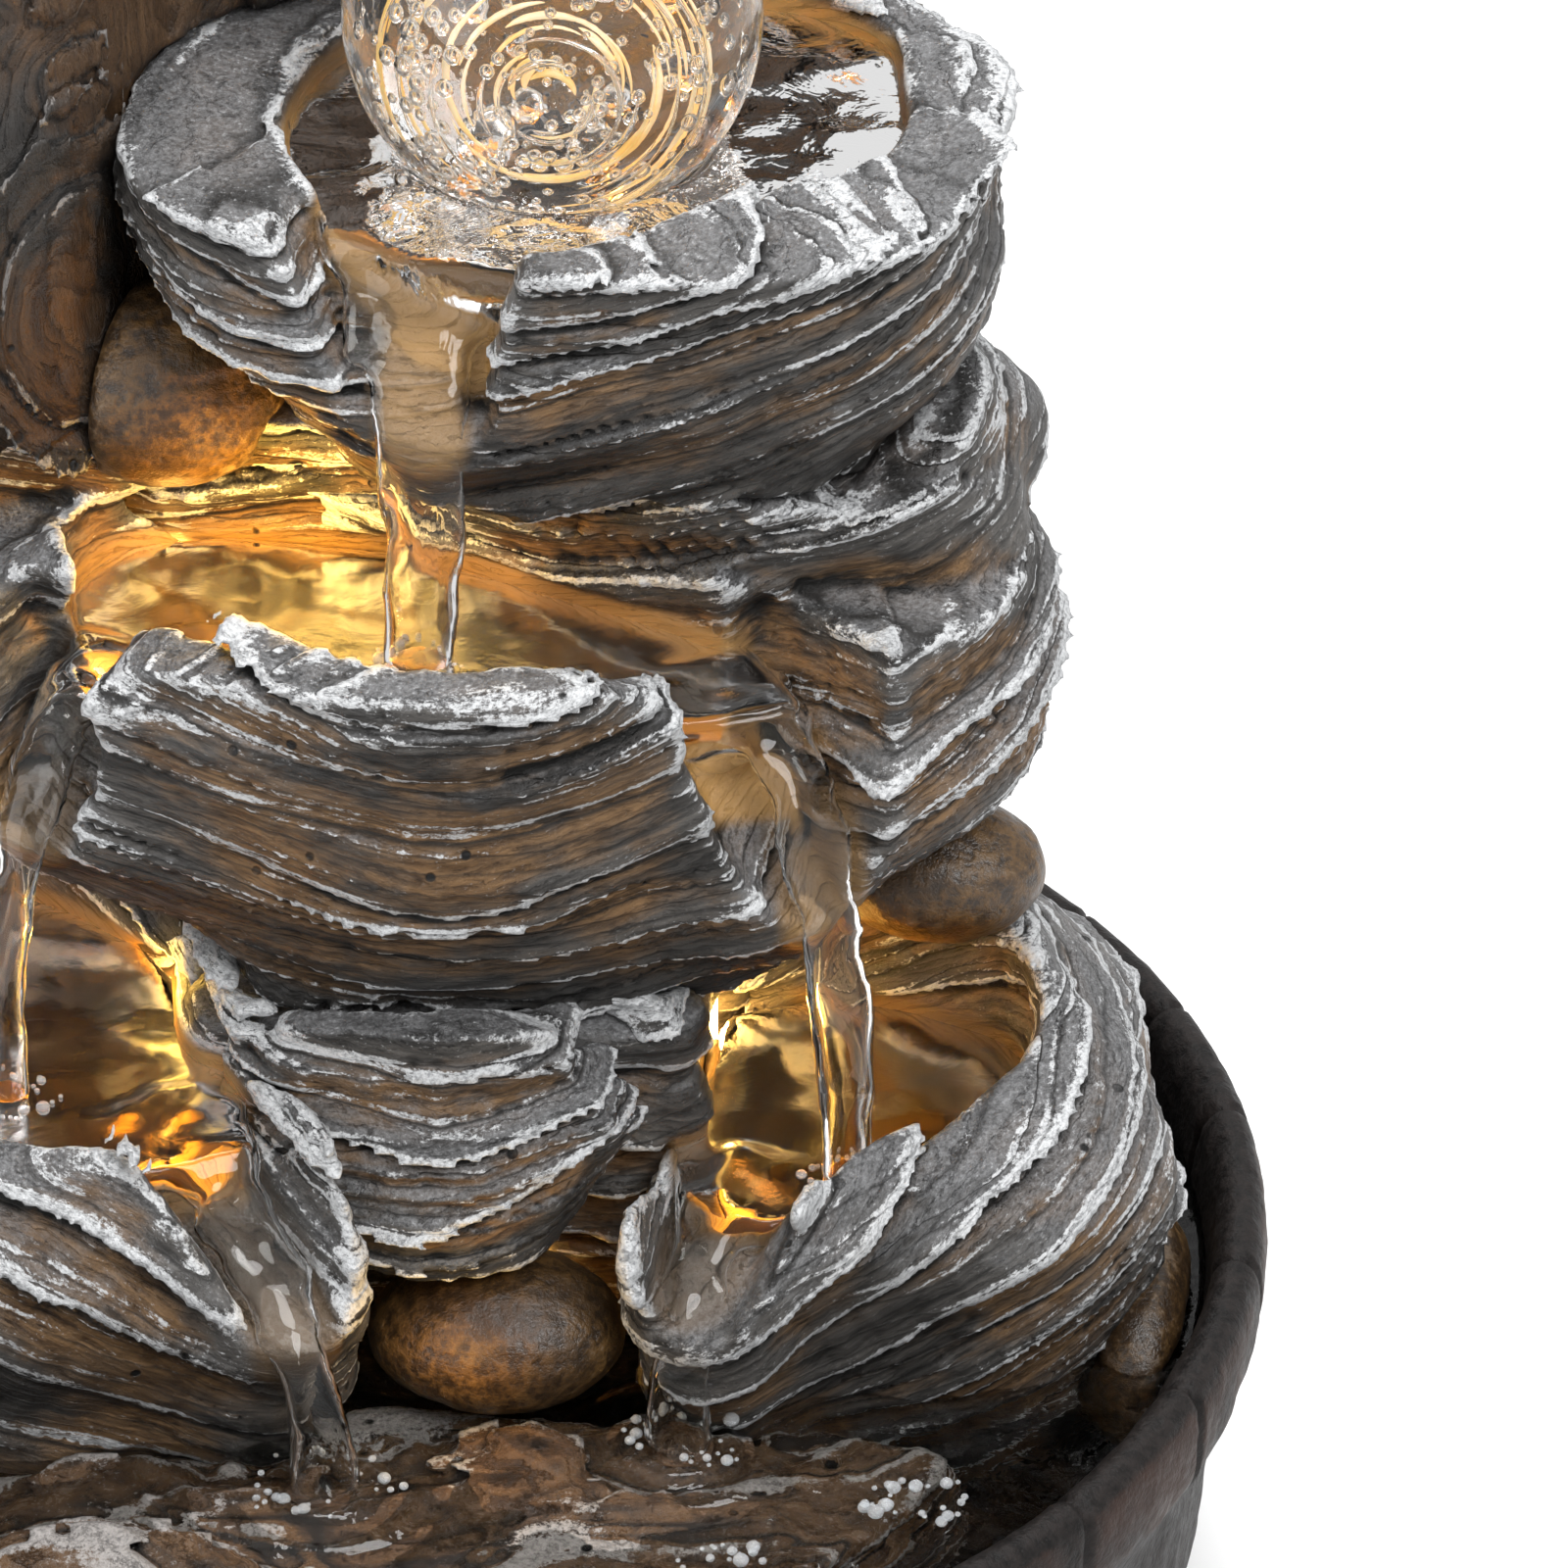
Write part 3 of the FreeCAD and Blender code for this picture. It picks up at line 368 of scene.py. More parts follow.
def carve_rock(nodes, voxel, beds, rough=0.3, soften=2):
    """CAD nodes as one weathered rock: their field is softened, pushed in and out by the beds, meshed."""
    v = Volume(nodes, voxel)
    v.blur(soften)
    mask, p = v.near()
    push = np.zeros(len(p), np.float32)
    for bed in beds:
        push += bed.push(p)
    push += rough * GRAIN(p, 2.7) + 0.6 * rough * GRAIN(p + 77.0, 1.5)
    plain = np.maximum(doorway(p), inner_wall(p))
    v.d[mask] -= push * (1 - 0.88 * np.minimum(1, 1.5 * soaked(p))) * (1 - plain)
    points, quads = v.polygons()
    points = np.clip(points, np.array(cad_box[0]) / MM, np.array(cad_box[1]) / MM)
    edge, crown = relief(v, points, 1.2), relief(v, points, 5.0)
    places = points.astype(np.float32)
    height, thin = beds[0].height(places), beds[-1].height(places)
    attributes = {"edge": edge, "crown": crown, "bed": height,
                  "shelf": sum(beds[0].bed(height)), "leaf": sum(beds[-1].bed(thin)), "wet": soaked(places),
                  "rise": (places[:, 2] - places[:, 2].min()) / np.ptp(places[:, 2])}
    obj = mesh_object(nodes[0] + "_stone", points, quads[:, ::-1], attributes)
    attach(obj, frame["nodes"][nodes[0]]["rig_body"])
    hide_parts(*nodes)
    print(nodes[0], len(quads), "faces, edge", np.percentile(edge, (5, 50, 95)).round(3),
          "crown", np.percentile(crown, (5, 50, 95)).round(3))
    return obj


# ---------------------------------------------------------------- materials
class Paint:
    """A short way to wire a node material."""

    def __init__(self, name):
        self.material = bpy.data.materials.new(name)
        self.material.use_nodes = True
        self.tree = self.material.node_tree
        self.tree.nodes.clear()
        self.out = self.add("ShaderNodeOutputMaterial")
        self.shader = self.add("ShaderNodeBsdfPrincipled")
        self.tree.links.new(self.shader.outputs[0], self.out.inputs[0])

    def add(self, kind, **settings):
        node = self.tree.nodes.new(kind)
        for key, value in settings.items():
            setattr(node, key, value)
        return node

    def link(self, source, target):
        if isinstance(source, (int, float)):
            target.default_value = source
        elif isinstance(source, tuple):
            target.default_value = source if len(source) == len(target.default_value) else source + (1,)
        else:
            self.tree.links.new(source, target)

    def set(self, **inputs):
        for key, value in inputs.items():
            self.link(value, self.shader.inputs[key.replace("_", " ")])

    def place(self):
        return self.add("ShaderNodeTexCoord").outputs["Object"]

    def attribute(self, name):
        return self.add("ShaderNodeAttribute", attribute_name=name).outputs["Fac"]

    def math(self, operation, a, b=0.0, c=0.0):
        node = self.add("ShaderNodeMath", operation=operation)
        for source, socket in zip((a, b, c), node.inputs):
            self.link(source, socket)
        return node.outputs[0]

    def scaled(self, value, by, plus):
        return self.math("MULTIPLY_ADD", value, by, plus)

    def ramp(self, value, low, high, to_low=0.0, to_high=1.0):
        node = self.add("ShaderNodeMapRange", interpolation_type="SMOOTHSTEP")
        for source, socket in zip((value, low, high, to_low, to_high), node.inputs):
            self.link(source, socket)
        return node.outputs[0]

    def mix(self, factor, a, b, mode="MIX"):
        node = self.add("ShaderNodeMix", data_type="RGBA", blend_type=mode)
        self.link(factor, node.inputs["Factor"])
        self.link(a, node.inputs[6])
        self.link(b, node.inputs[7])
        return node.outputs[2]

    def stretch(self, vector, scale):
        node = self.add("ShaderNodeVectorMath", operation="MULTIPLY")
        self.link(vector, node.inputs[0])
        node.inputs[1].default_value = scale
        return node.outputs[0]

    def bed_vector(self, across, along):
        """Object place in mm with the height taken from the beds, squeezed so that detail follows them."""
        split = self.add("ShaderNodeSeparateXYZ")
        self.link(self.place(), split.inputs[0])
        join = self.add("ShaderNodeCombineXYZ")
        for i in (0, 1):
            self.link(self.math("MULTIPLY", split.outputs[i], 1000.0 / along), join.inputs[i])
        self.link(self.math("MULTIPLY", self.attribute("bed"), 1.0 / across), join.inputs[2])
        return join.outputs[0]

    def noise(self, vector, scale, detail=3.0, rough=0.5, warp=0.0):
        node = self.add("ShaderNodeTexNoise")
        self.link(vector, node.inputs["Vector"])
        node.inputs["Scale"].default_value = scale
        node.inputs["Detail"].default_value = detail
        node.inputs["Roughness"].default_value = rough
        node.inputs["Distortion"].default_value = warp
        return node.outputs[0]

    def cells(self, vector, scale):
        node = self.add("ShaderNodeTexVoronoi", feature="F1")
        self.link(vector, node.inputs["Vector"])
        node.inputs["Scale"].default_value = scale
        return node.outputs["Distance"]

    def bump(self, height, distance, strength):
        node = self.add("ShaderNodeBump")
        self.link(height, node.inputs["Height"])
        node.inputs["Distance"].default_value = distance
        node.inputs["Strength"].default_value = strength
        return node.outputs[0]

    def facing_up(self):
        """How far the surface faces up, 1 on a flat top and -1 underneath."""
        split = self.add("ShaderNodeSeparateXYZ")
        self.link(self.add("ShaderNodeNewGeometry").outputs["Normal"], split.inputs[0])
        return split.outputs[2]

    def terrace(self, beds, lip):
        """Each whole step of beds as (a ledge's height, the line along its lip, the dark line under it)."""
        t = self.math("FRACT", beds)
        ledge = self.math("MINIMUM", self.math("DIVIDE", t, lip), self.math("SUBTRACT", 1.0, t))
        line = self.math("MULTIPLY", self.ramp(t, 0.5 * lip, lip),
                         self.ramp(t, 2.0 * lip, 4.0 * lip, 1.0, 0.0))
        under = self.math("ADD", self.ramp(t, 0.0, 0.6 * lip, 1.0, 0.0), self.ramp(t, 1 - 1.2 * lip, 1.0))
        return ledge, line, under


def slate_paint(name, brown=0.0, pale=0.0, dark=1.0, gloss=0.0, pale_share=0.9):
    """Cast slate: grey faces washed with brown, crevices, undersides and the foot of each rock darkened as
    painted shade, white dry-brushed along the raised edges.
    """
    m = Paint(name)
    names = ("edge", "crown", "shelf", "leaf", "wet", "rise")
    edge, crown, shelf, leaf, wet, rise = (m.attribute(key) for key in names)
    up = m.facing_up()
    grain = m.noise(m.bed_vector(0.8, 4.5), 1.0, 6.0, 0.7, 0.4)
    streak = m.noise(m.bed_vector(3.2, 26.0), 1.0, 5.0, 0.62, 0.8)
    patch = m.noise(m.place(), 40.0, 4.0, 0.6)
    wash = m.noise(m.place(), 21.0, 3.0, 0.5)
    crackle = m.noise(m.bed_vector(0.40, 0.75), 1.0, 4.0, 0.8)
    ply = m.terrace(m.scaled(grain, 3.0, m.math("DIVIDE", m.attribute("bed"), 1.1)), 0.16)
    thin = m.terrace(m.scaled(grain, 0.35, leaf), 0.10)
    broad = m.terrace(m.scaled(grain, 0.10, shelf), 0.07)

    tone = m.scaled(streak, 0.55, m.math("MULTIPLY", grain, 0.5))
    grey = m.mix(m.ramp(tone, 0.34, 0.72), (0.014, 0.013, 0.012), (0.125, 0.116, 0.107))
    tan = m.mix(m.ramp(grain, 0.25, 0.75), (0.045, 0.022, 0.009), (0.27, 0.155, 0.068))
    hollow = m.scaled(crown, -3.4, m.scaled(patch, 2.4, -1.2))
    hollow = m.math("ADD", hollow, m.scaled(wash, 2.6, -0.95 + brown))
    hollow = m.math("ADD", hollow, m.scaled(streak, 1.6, -0.8))
    body = m.mix(m.ramp(hollow, 0.05, 0.8), grey, tan)
    top = m.mix(m.ramp(crackle, 0.35, 0.65), (0.075, 0.074, 0.075), (0.22, 0.222, 0.228))
    # upward-facing surfaces are mixed part of the way towards a paler, crackled grey
    level = m.scaled(patch, 0.8, up)
    body = m.mix(m.ramp(level, 0.8, 1.4, 0.0, pale_share), body, top)
    # painted shade: the lower part of each rock is darkened towards near-black, most at the bottom
    foot = m.scaled(patch, 0.35, rise)
    body = m.mix(m.ramp(foot, 0.10, 0.50, 0.72, 0.0), body, (0.010, 0.0095, 0.0085))
    # painted shade: faces that turn downwards are darkened to near-black
    body = m.mix(m.ramp(up, -0.75, -0.1, 0.85, 0.0), body, (0.008, 0.0075, 0.007))
    # painted shade: crevices, where the rock lies below its surroundings, are darkened to near-black
    crevice_shade = m.math("ADD", m.math("MULTIPLY", edge, 5.0), m.scaled(grain, 0.9, -0.45))
    body = m.mix(m.ramp(crevice_shade, -0.8, -0.1, 1.0, 0.0), body, (0.005, 0.0045, 0.004))
    shadow = m.math("MAXIMUM", m.math("MULTIPLY", broad[2], 0.9), m.math("MULTIPLY", thin[2], 0.55))
    body = m.mix(shadow, body, (0.007, 0.006, 0.005))

    raised = m.math("ADD", m.math("MULTIPLY", edge, 5.0), m.math("MULTIPLY", crown, 1.8))
    raised = m.math("ADD", raised, m.scaled(streak, 3.4, -1.82 + pale))
    raised = m.math("ADD", raised, m.scaled(patch, 2.0, -1.0))
    raised = m.math("ADD", raised, m.scaled(rise, 0.9, -0.66))
    lines = m.math("ADD", m.math("MULTIPLY", broad[1], 1.1), m.math("MULTIPLY", thin[1], 0.7))
    brushed = m.math("ADD", raised, m.scaled(crackle, 2.2, -1.1))
    white = m.math("MAXIMUM", m.ramp(brushed, 0.95, 1.35),
                   m.ramp(m.math("ADD", brushed, lines), 0.80, 1.20, 0.0, 0.95))
    flecks = m.math("MULTIPLY", m.ramp(crackle, 0.60, 0.68), m.ramp(raised, -0.6, 0.7, 0.0, 0.65))
    white = m.math("MAXIMUM", white, flecks)
    paint = m.mix(m.ramp(crackle, 0.3, 0.6), (0.26, 0.265, 0.275), (0.64, 0.65, 0.66))
    color = m.mix(m.math("MULTIPLY", white, m.ramp(wet, 0.1, 0.8, 1.0, 0.1)), body, paint)
    bed = m.mix(m.ramp(wash, 0.35, 0.65), (0.060, 0.031, 0.008), (0.35, 0.190, 0.050))
    color = m.mix(m.ramp(wet, 0.1, 0.9, 0.0, 0.85), color, bed)
    # painted shade: small pits are coloured near-black for the shade inside them, and the bump also sinks
    # them
    pit = m.cells(m.place(), 190.0)
    hole = m.math("MULTIPLY", m.ramp(pit, 0.10, 0.15, 1.0, 0.0), m.ramp(patch, 0.55, 0.62))
    color = m.mix(hole, color, (0.003, 0.003, 0.003))
    if dark != 1.0:
        color = m.mix(1.0, color, (dark, dark * 0.92, dark * 0.86), "MULTIPLY")
    height = m.scaled(thin[0], 1.1, m.math("MULTIPLY", ply[0], 0.5))
    height = m.math("ADD", height, m.scaled(crackle, 0.7, m.math("MULTIPLY", grain, 1.2)))
    height = m.math("SUBTRACT", height, m.math("MULTIPLY", hole, 2.0))
    height = m.math("MULTIPLY", height, m.ramp(wet, 0.2, 0.9, 1.0, 0.25))
    m.set(Base_Color=color, Roughness=m.ramp(grain, 0.2, 0.8, 0.38 - gloss, 0.62 - gloss),
          Normal=m.bump(height, 0.0006, 1.0), Specular_IOR_Level=0.45)
    return m.material


def pebble_paint(name):
    """Smooth brown river stone, mottled darker, with a little of the white brush on top."""
    m = Paint(name)
    patch = m.noise(m.place(), 70.0, 5.0, 0.65)
    fine = m.noise(m.place(), 600.0, 4.0, 0.7)
    body = m.mix(m.ramp(patch, 0.3, 0.7), (0.026, 0.013, 0.005), (0.125, 0.066, 0.020))
    body = m.mix(m.ramp(fine, 0.35, 0.65), (0.022, 0.013, 0.007), body)
    pale_share = m.ramp(m.math("ADD", m.math("MULTIPLY", m.attribute("crown"), 1.5),
                          m.scaled(fine, 1.6, -0.8)), 0.35, 0.75, 0.0, 0.4)
    m.set(Base_Color=m.mix(pale_share, body, (0.28, 0.22, 0.16)), Roughness=m.ramp(fine, 0.3, 0.7, 0.28, 0.46),
          Normal=m.bump(fine, 0.0005, 0.8))
    return m.material


def basin_paint(name):
    """Satin black-brown resin; the rim's outer edge is rubbed through to reddish brown."""
    m = Paint(name)
    wear = m.attribute("wear")
    patch = m.noise(m.place(), 60.0, 5.0, 0.65)
    fine = m.noise(m.place(), 500.0, 4.0, 0.7)
    body = m.mix(m.ramp(fine, 0.3, 0.7), (0.0045, 0.004, 0.0038), (0.018, 0.0145, 0.0135))
    rubbed = m.ramp(m.math("ADD", wear, m.scaled(patch, 2.2, -1.1)), 0.65, 1.25, 0.0, 0.7)
    m.set(Base_Color=m.mix(rubbed, body, (0.042, 0.022, 0.016)),
          Roughness=m.ramp(fine, 0.3, 0.7, 0.42, 0.60),
          Normal=m.bump(m.scaled(patch, 1.5, fine), 0.0006, 0.8), Specular_IOR_Level=0.14)
    return m.material


def water_paint(name, tint, ripple=0.3, still=0.015):
    """Clear moving water; tint and the roughness called still apply where it stands in a pool."""
    m = Paint(name)
    swirl = m.noise(m.stretch(m.place(), (1.0, 1.0, 0.45)), 95.0, 3.0, 0.5, 1.6)
    fine = m.noise(m.stretch(m.place(), (1.0, 1.0, 0.3)), 330.0, 2.0, 0.5, 0.8)
    height = m.scaled(fine, 0.3, swirl)
    pool = m.attribute("pool")
    standing = m.mix(m.ramp(swirl, 0.2, 0.8, 0.0, 0.4), tint, (1.0, 1.0, 1.0))
    m.set(Base_Color=m.mix(pool, (0.97, 0.97, 0.95), standing),
          Roughness=m.ramp(pool, 0.2, 1.0, 0.015, still), Normal=m.bump(height, 0.0015, ripple),
          Transmission_Weight=1.0, IOR=1.33)
    return m.material


def glass_paint(name):
    m = Paint(name)
    film = m.noise(m.place(), 90.0, 3.0, 0.5, 1.0)
    m.set(Base_Color=m.mix(m.ramp(film, 0.3, 0.7), (0.97, 0.98, 0.98), (1.0, 1.0, 1.0)),
          Normal=m.bump(film, 0.0006, 0.25), Transmission_Weight=1.0, IOR=1.5, Roughness=0.0)
    return m.material


def plain_paint(name, low, high, rough, scale=300.0, bump=0.0002, metallic=0.0, grain=(1, 1, 1)):
    """A moulded, drawn or coated surface: two close tones, speckled roughness and a fine bump."""
    m = Paint(name)
    fine = m.noise(m.stretch(m.place(), grain), scale, 4.0, 0.6)
    broad = m.noise(m.place(), 45.0, 3.0, 0.5)
    tone = m.scaled(fine, 0.6, m.math("MULTIPLY", broad, 0.4))
    m.set(Base_Color=m.mix(m.ramp(tone, 0.3, 0.7), low, high),
          Roughness=m.ramp(fine, 0.25, 0.75, rough * 0.85, min(1.0, rough * 1.15)),
          Normal=m.bump(fine, bump, 0.8), Metallic=metallic)
    return m.material


def clear_paint(name, tint, glow=0.0):
    """Clear moulded plastic; with a glow it is the lit lens of a warm lamp."""
    m = Paint(name)
    fine = m.noise(m.place(), 420.0, 3.0, 0.5)
    m.set(Base_Color=m.mix(m.ramp(fine, 0.3, 0.7), tint, (1.0, 1.0, 1.0)), Normal=m.bump(fine, 0.0002, 0.5),
          Roughness=0.12)
    if glow:
        m.set(Emission_Color=(1.0, 0.50, 0.10), Emission_Strength=glow)
    else:
        m.set(Transmission_Weight=0.9)
    return m.material


def show(obj, material):
    obj.data.materials.clear()
    obj.data.materials.append(material)


# ---------------------------------------------------------------- the rockery
GRAIN = Noise(91)
SLATE = slate_paint("slate", brown=0.12)
CRAG_PAINT = slate_paint("crag_bark", brown=0.5, pale=-0.45, dark=0.34, pale_share=0.45)
LEDGE_PAINT = slate_paint("wet_ledge", brown=2.4, pale=0.0, dark=0.55, gloss=0.28, pale_share=0.12)
PEBBLE = pebble_paint("pebble")

CORE_NODES = ("core_base", "core_panel", "core_head")

# nodes: (cell size, stacking direction of the beds, lift to the sides, middle of the lift)
ROCKS = {
    ("ball_bowl",): (0.62, (-0.08, -0.10, 1), 5.0, 6.0),
    ("middle_rock",): (0.75, (-0.02, -0.14, 1), 5.5, 8.0),
    ("centre_rock",): (0.5, (-0.10, -0.10, 1), 3.0, 8.0),
    ("left_pool_rock",): (0.75, (0.38, -0.10, 1), 3.0, -20.0),
    ("right_pool_rock",): (0.65, (-0.34, -0.10, 1), 3.0, 34.0),
    ("ledge_rock",): (0.8, (0.05, -0.2, 1), 0.0, 0.0),
    CORE_NODES: (0.9, (0, -0.1, 1), 0.0, 0.0),
    ("rear_cover",): (0.6, (-0.02, -0.14, 1), 5.5, 8.0),
}


def make_slate_rocks():
    for seed, (nodes, (voxel, up, bow, middle)) in enumerate(ROCKS.items()):
        coarse = Strata(20 + seed, 6.5, 2.7, 4.0, up, bow, middle)
        fine = Strata(50 + seed, 2.4, 0.9, 3.0, up, bow, middle)
        rock = carve_rock(nodes, voxel, [coarse, fine])
        show(rock, LEDGE_PAINT if "ledge_rock" in nodes else SLATE)


def make_crag():
    """Tall bark-like rock: its beds stand on edge and flow upwards."""
    flow = Strata(31, 7.0, 2.5, 6.0, (0.80, -0.55, 0.10))
    ribs = Strata(33, 2.6, 0.8, 5.0, (0.80, -0.55, 0.10))
    show(carve_rock(("crag",), 0.8, [flow, ribs]), CRAG_PAINT)


def make_pebbles():
    for node in ("front_pebble", "right_pebble", "left_boulder", "side_rock"):
        gentle = Strata(71, 9.0, 0.5, 5.0)
        show(carve_rock((node,), 0.6, [gentle], rough=0.15, soften=5), PEBBLE)


# ---------------------------------------------------------------- basin
BASIN_PROFILE = [(90, 3), (94, 4.2), (97, 9), (98.6, 16), (100, 28), (100.9, 40), (103, 44.5), (105.4, 48.5),
                 (106, 52), (106, 56), (105.4, 59.6), (103.6, 61.7), (101.5, 62), (100.4, 61.6),
                 (99.0, 60), (97.8, 52), (96.6, 42), (95.5, 34), (92, 18), (87, 10), (82, 8)]


def make_basin():
    """The round bowl: wrinkled outside, with a rolled rim that cracks cross and that is worn outside."""
    steps = 96
    corners = np.array(BASIN_PROFILE, float)
    run = np.r_[0, np.cumsum(np.hypot(*np.diff(corners, axis=0).T))]
    s = np.linspace(0, run[-1], steps)
    r, z = np.interp(s, run, corners[:, 0]), np.interp(s, run, corners[:, 1])
    for _ in range(2):
        r[1:-1] = (r[:-2] + 2 * r[1:-1] + r[2:]) / 4
        z[1:-1] = (z[:-2] + 2 * z[1:-1] + z[2:]) / 4
    nr, nz = np.gradient(z), -np.gradient(r)
    length = np.hypot(nr, nz)
    nr, nz = nr / length, nz / length
    around = 960
    turn = np.arange(around) * 2 * math.pi / around
    rr, aa = np.meshgrid(r, turn)
    zz = np.meshgrid(z, turn)[0]
    flat = np.stack([rr * np.cos(aa), rr * np.sin(aa), zz], -1).reshape(-1, 3).astype(np.float32)
    wrinkle, coarse = Noise(81), Noise(83)
    wall = smooth_step(zz.ravel(), 62, 40)
    outside = (np.arange(steps) < steps * 0.55)[None, :].repeat(around, 0).ravel()
    deep = 0.45 + 0.45 * wrinkle(flat, (9, 9, 30)) + 0.3 * wrinkle(flat + 300, (4, 4, 11))
    dent = np.where(outside, 0.35 + 1.1 * wall * np.clip(deep, 0, 1.5), 0.25 * np.clip(deep, 0, 1))
    dent += 0.25 * (coarse(flat, 2.2) + 1) / 2
    rng = np.random.default_rng(85)
    cracks = np.cumsum(rng.uniform(0.16, 0.30, 40))
    cracks = cracks[cracks < 2 * math.pi - 0.1]
    sway = 0.035 * coarse(flat + 900, (60, 60, 9))
    angle = aa.ravel() + sway
    apart = (angle[:, None] - cracks[None, :] + math.pi) % (2 * math.pi) - math.pi
    off = np.min(np.abs(apart), 1) * rr.ravel()
    lip = smooth_step(zz.ravel(), 42, 50)
    dent += 0.9 * lip * np.clip(1 - off / 0.9, 0, 1) ** 0.7
    nrr, nzz = np.meshgrid(nr, turn)[0].ravel(), np.meshgrid(nz, turn)[0].ravel()
    out_r = rr.ravel() - dent * nrr
    points = np.stack([out_r * np.cos(aa.ravel()), out_r * np.sin(aa.ravel()), zz.ravel() - dent * nzz], -1)
    wear = smooth_step(rr.ravel(), 103.5, 105.5) * smooth_step(zz.ravel(), 44, 50)
    wear -= 0.9 * np.clip(1 - off / 1.2, 0, 1)
    i, j = np.meshgrid(np.arange(around), np.arange(steps - 1), indexing="ij")
    a, b = i * steps + j, ((i + 1) % around) * steps + j
    faces = np.stack([a, b, b + 1, a + 1], -1).reshape(-1, 4)
    caps = np.array([[0, 0, 3], [0, 0, 8]], float)
    n = len(points)
    points = np.concatenate([points, caps])
    wear = np.r_[wear, 0, 0]
    k = np.arange(around)
    first, following = k * steps, ((k + 1) % around) * steps
    low = np.stack([np.full(around, n), following, first], -1)
    high = np.stack([np.full(around, n + 1), first + steps - 1, following + steps - 1], -1)
    faces = faces.tolist() + low.tolist() + high.tolist()
    obj = mixed_object("basin_bowl", points, faces)
    layer = obj.data.attributes.new("wear", "FLOAT", "POINT")
    layer.data.foreach_set("value", wear.astype(np.float32))
    show(obj, basin_paint("basin_resin"))
    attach(obj, "root")
    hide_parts("basin")


# ---------------------------------------------------------------- water
class WaterBody:
    """A field in mm that pools and streams are poured into."""

    CLEAR = 6.0                 # how far out the field is worked out

    def __init__(self, low, high, voxel):
        self.low, self.voxel = np.array(low, float), voxel
        shape = np.ceil((np.array(high) - self.low) / voxel).astype(int) + 1
        self.d = np.full(tuple(shape), self.CLEAR, np.float32)
        self.noise = Noise(95)

    def block(self, low, high):
        a = np.maximum(np.floor((np.array(low) - self.low) / self.voxel).astype(int), 0)
        b = np.minimum(np.ceil((np.array(high) - self.low) / self.voxel).astype(int) + 1, self.d.shape)
        axes = [self.low[k] + self.voxel * np.arange(a[k], b[k]) for k in range(3)]
        return tuple(slice(a[k], b[k]) for k in range(3)), np.meshgrid(*axes, indexing="ij")

    def pour(self, part, field, blend):
        """Smooth union of a field with what is there."""
        here = self.d[part]
        h = np.clip(0.5 + 0.5 * (here - field) / blend, 0, 1)
        self.d[part] = here * (1 - h) + field * h - blend * h * (1 - h)

    def pool(self, outline, floor, level, widen, waves):
        """A level sheet in the outline scaled by (z, scale) pairs and widened into the rock around it."""
        points = np.array(outline, float)
        middle = points.mean(0)
        low = np.r_[points.min(0) - 6, floor[0][0] - 3]
        high = np.r_[points.max(0) + 6, level + 3]
        part, (x, y, z) = self.block(low, high)
        scale = np.interp(z, [f[0] for f in floor], [f[1] for f in floor])
        side = outline_field(outline, (x - middle[0]) / scale + middle[0],
                             (y - middle[1]) / scale + middle[1])
        p = np.stack([x, y, z], -1).reshape(-1, 3).astype(np.float32)
        wave = waves * self.noise(p, (9, 9, 60)) + 0.5 * waves * self.noise(p + 50, (4, 4, 60))
        wave = wave.reshape(x.shape)
        field = np.maximum(side * scale - widen, np.maximum(z - level - wave, floor[0][0] - z))
        self.pour(part, np.minimum(field, self.CLEAR).astype(np.float32), 0.5)

    def stream(self, path, thick):
        """A flowing ribbon through (x, y, z, half width), thick mm through, roped by the flow."""
        pts = np.array(path, float)
        fine = []
        for k in range(len(pts) - 1):
            p0, p1, p2, p3 = pts[max(k - 1, 0)], pts[k], pts[k + 1], pts[min(k + 2, len(pts) - 1)]
            for t in np.linspace(0, 1, 5)[: 4 if k < len(pts) - 2 else 5]:
                fine.append(0.5 * (2 * p1 + (p2 - p0) * t + (2 * p0 - 5 * p1 + 4 * p2 - p3) * t * t
                                   + (3 * p1 - p0 - 3 * p2 + p3) * t ** 3))
        pts = np.array(fine)
        reach = pts[:, 3].max() + 3
        part, (x, y, z) = self.block(pts[:, :3].min(0) - reach, pts[:, :3].max(0) + reach)
        p = np.stack([x, y, z], -1).reshape(-1, 3)
        best = np.full(len(p), self.CLEAR)
        for k in range(len(pts) - 1):
            a, b = pts[k, :3], pts[k + 1, :3]
            d = b - a
            size = np.linalg.norm(d)
            d = d / size
            near = np.abs((p - (a + b) / 2)).max(1) < reach + size
            q = p[near] - a
            t = np.clip(q @ d, 0, size)
            r = q - t[:, None] * d
            side = np.array([-d[1], d[0], 0.0]) if abs(d[2]) < 0.95 else np.array([1.0, 0.0, 0.0])
            side /= np.linalg.norm(side)
            width = pts[k, 3] + (pts[k + 1, 3] - pts[k, 3]) * t / size
            u = r @ side
            v = np.linalg.norm(r - u[:, None] * side, axis=1)
            f = (np.sqrt((u / width) ** 2 + (v / thick) ** 2) - 1) * np.minimum(width, thick)
            best[near] = np.minimum(best[near], f)
        p = p.astype(np.float32)
        rope = self.noise(p, (2.6, 2.6, 11)) + 0.6 * self.noise(p + 31, (1.7, 1.7, 5))
        best = best - 0.55 * rope
        self.pour(part, np.minimum(best, self.CLEAR).reshape(x.shape).astype(np.float32), 2.0)

    def without_ball(self, centre, radius):
        part, (x, y, z) = self.block(np.array(centre) - radius - 7, np.array(centre) + radius + 7)
        ball = np.sqrt((x - centre[0]) ** 2 + (y - centre[1]) ** 2 + (z - centre[2]) ** 2) - radius
        self.d[part] = np.maximum(self.d[part], -ball)

    def mesh(self, name, outline):
        grid = vdb.FloatGrid(self.CLEAR)
        grid.copyFromArray(softened(self.d))
        points, quads = grid.convertToQuads(0.0)
        points = np.asarray(points) * self.voxel + self.low
        side = outline_field(outline, points[:, 0], points[:, 1])
        return mesh_object(name, points, np.asarray(quads)[:, ::-1], {"pool": smooth_step(side, 2.0, -3.0)})


BALL_CENTRE, BALL_R = (19.0, 47.0, 197.0), 25.0


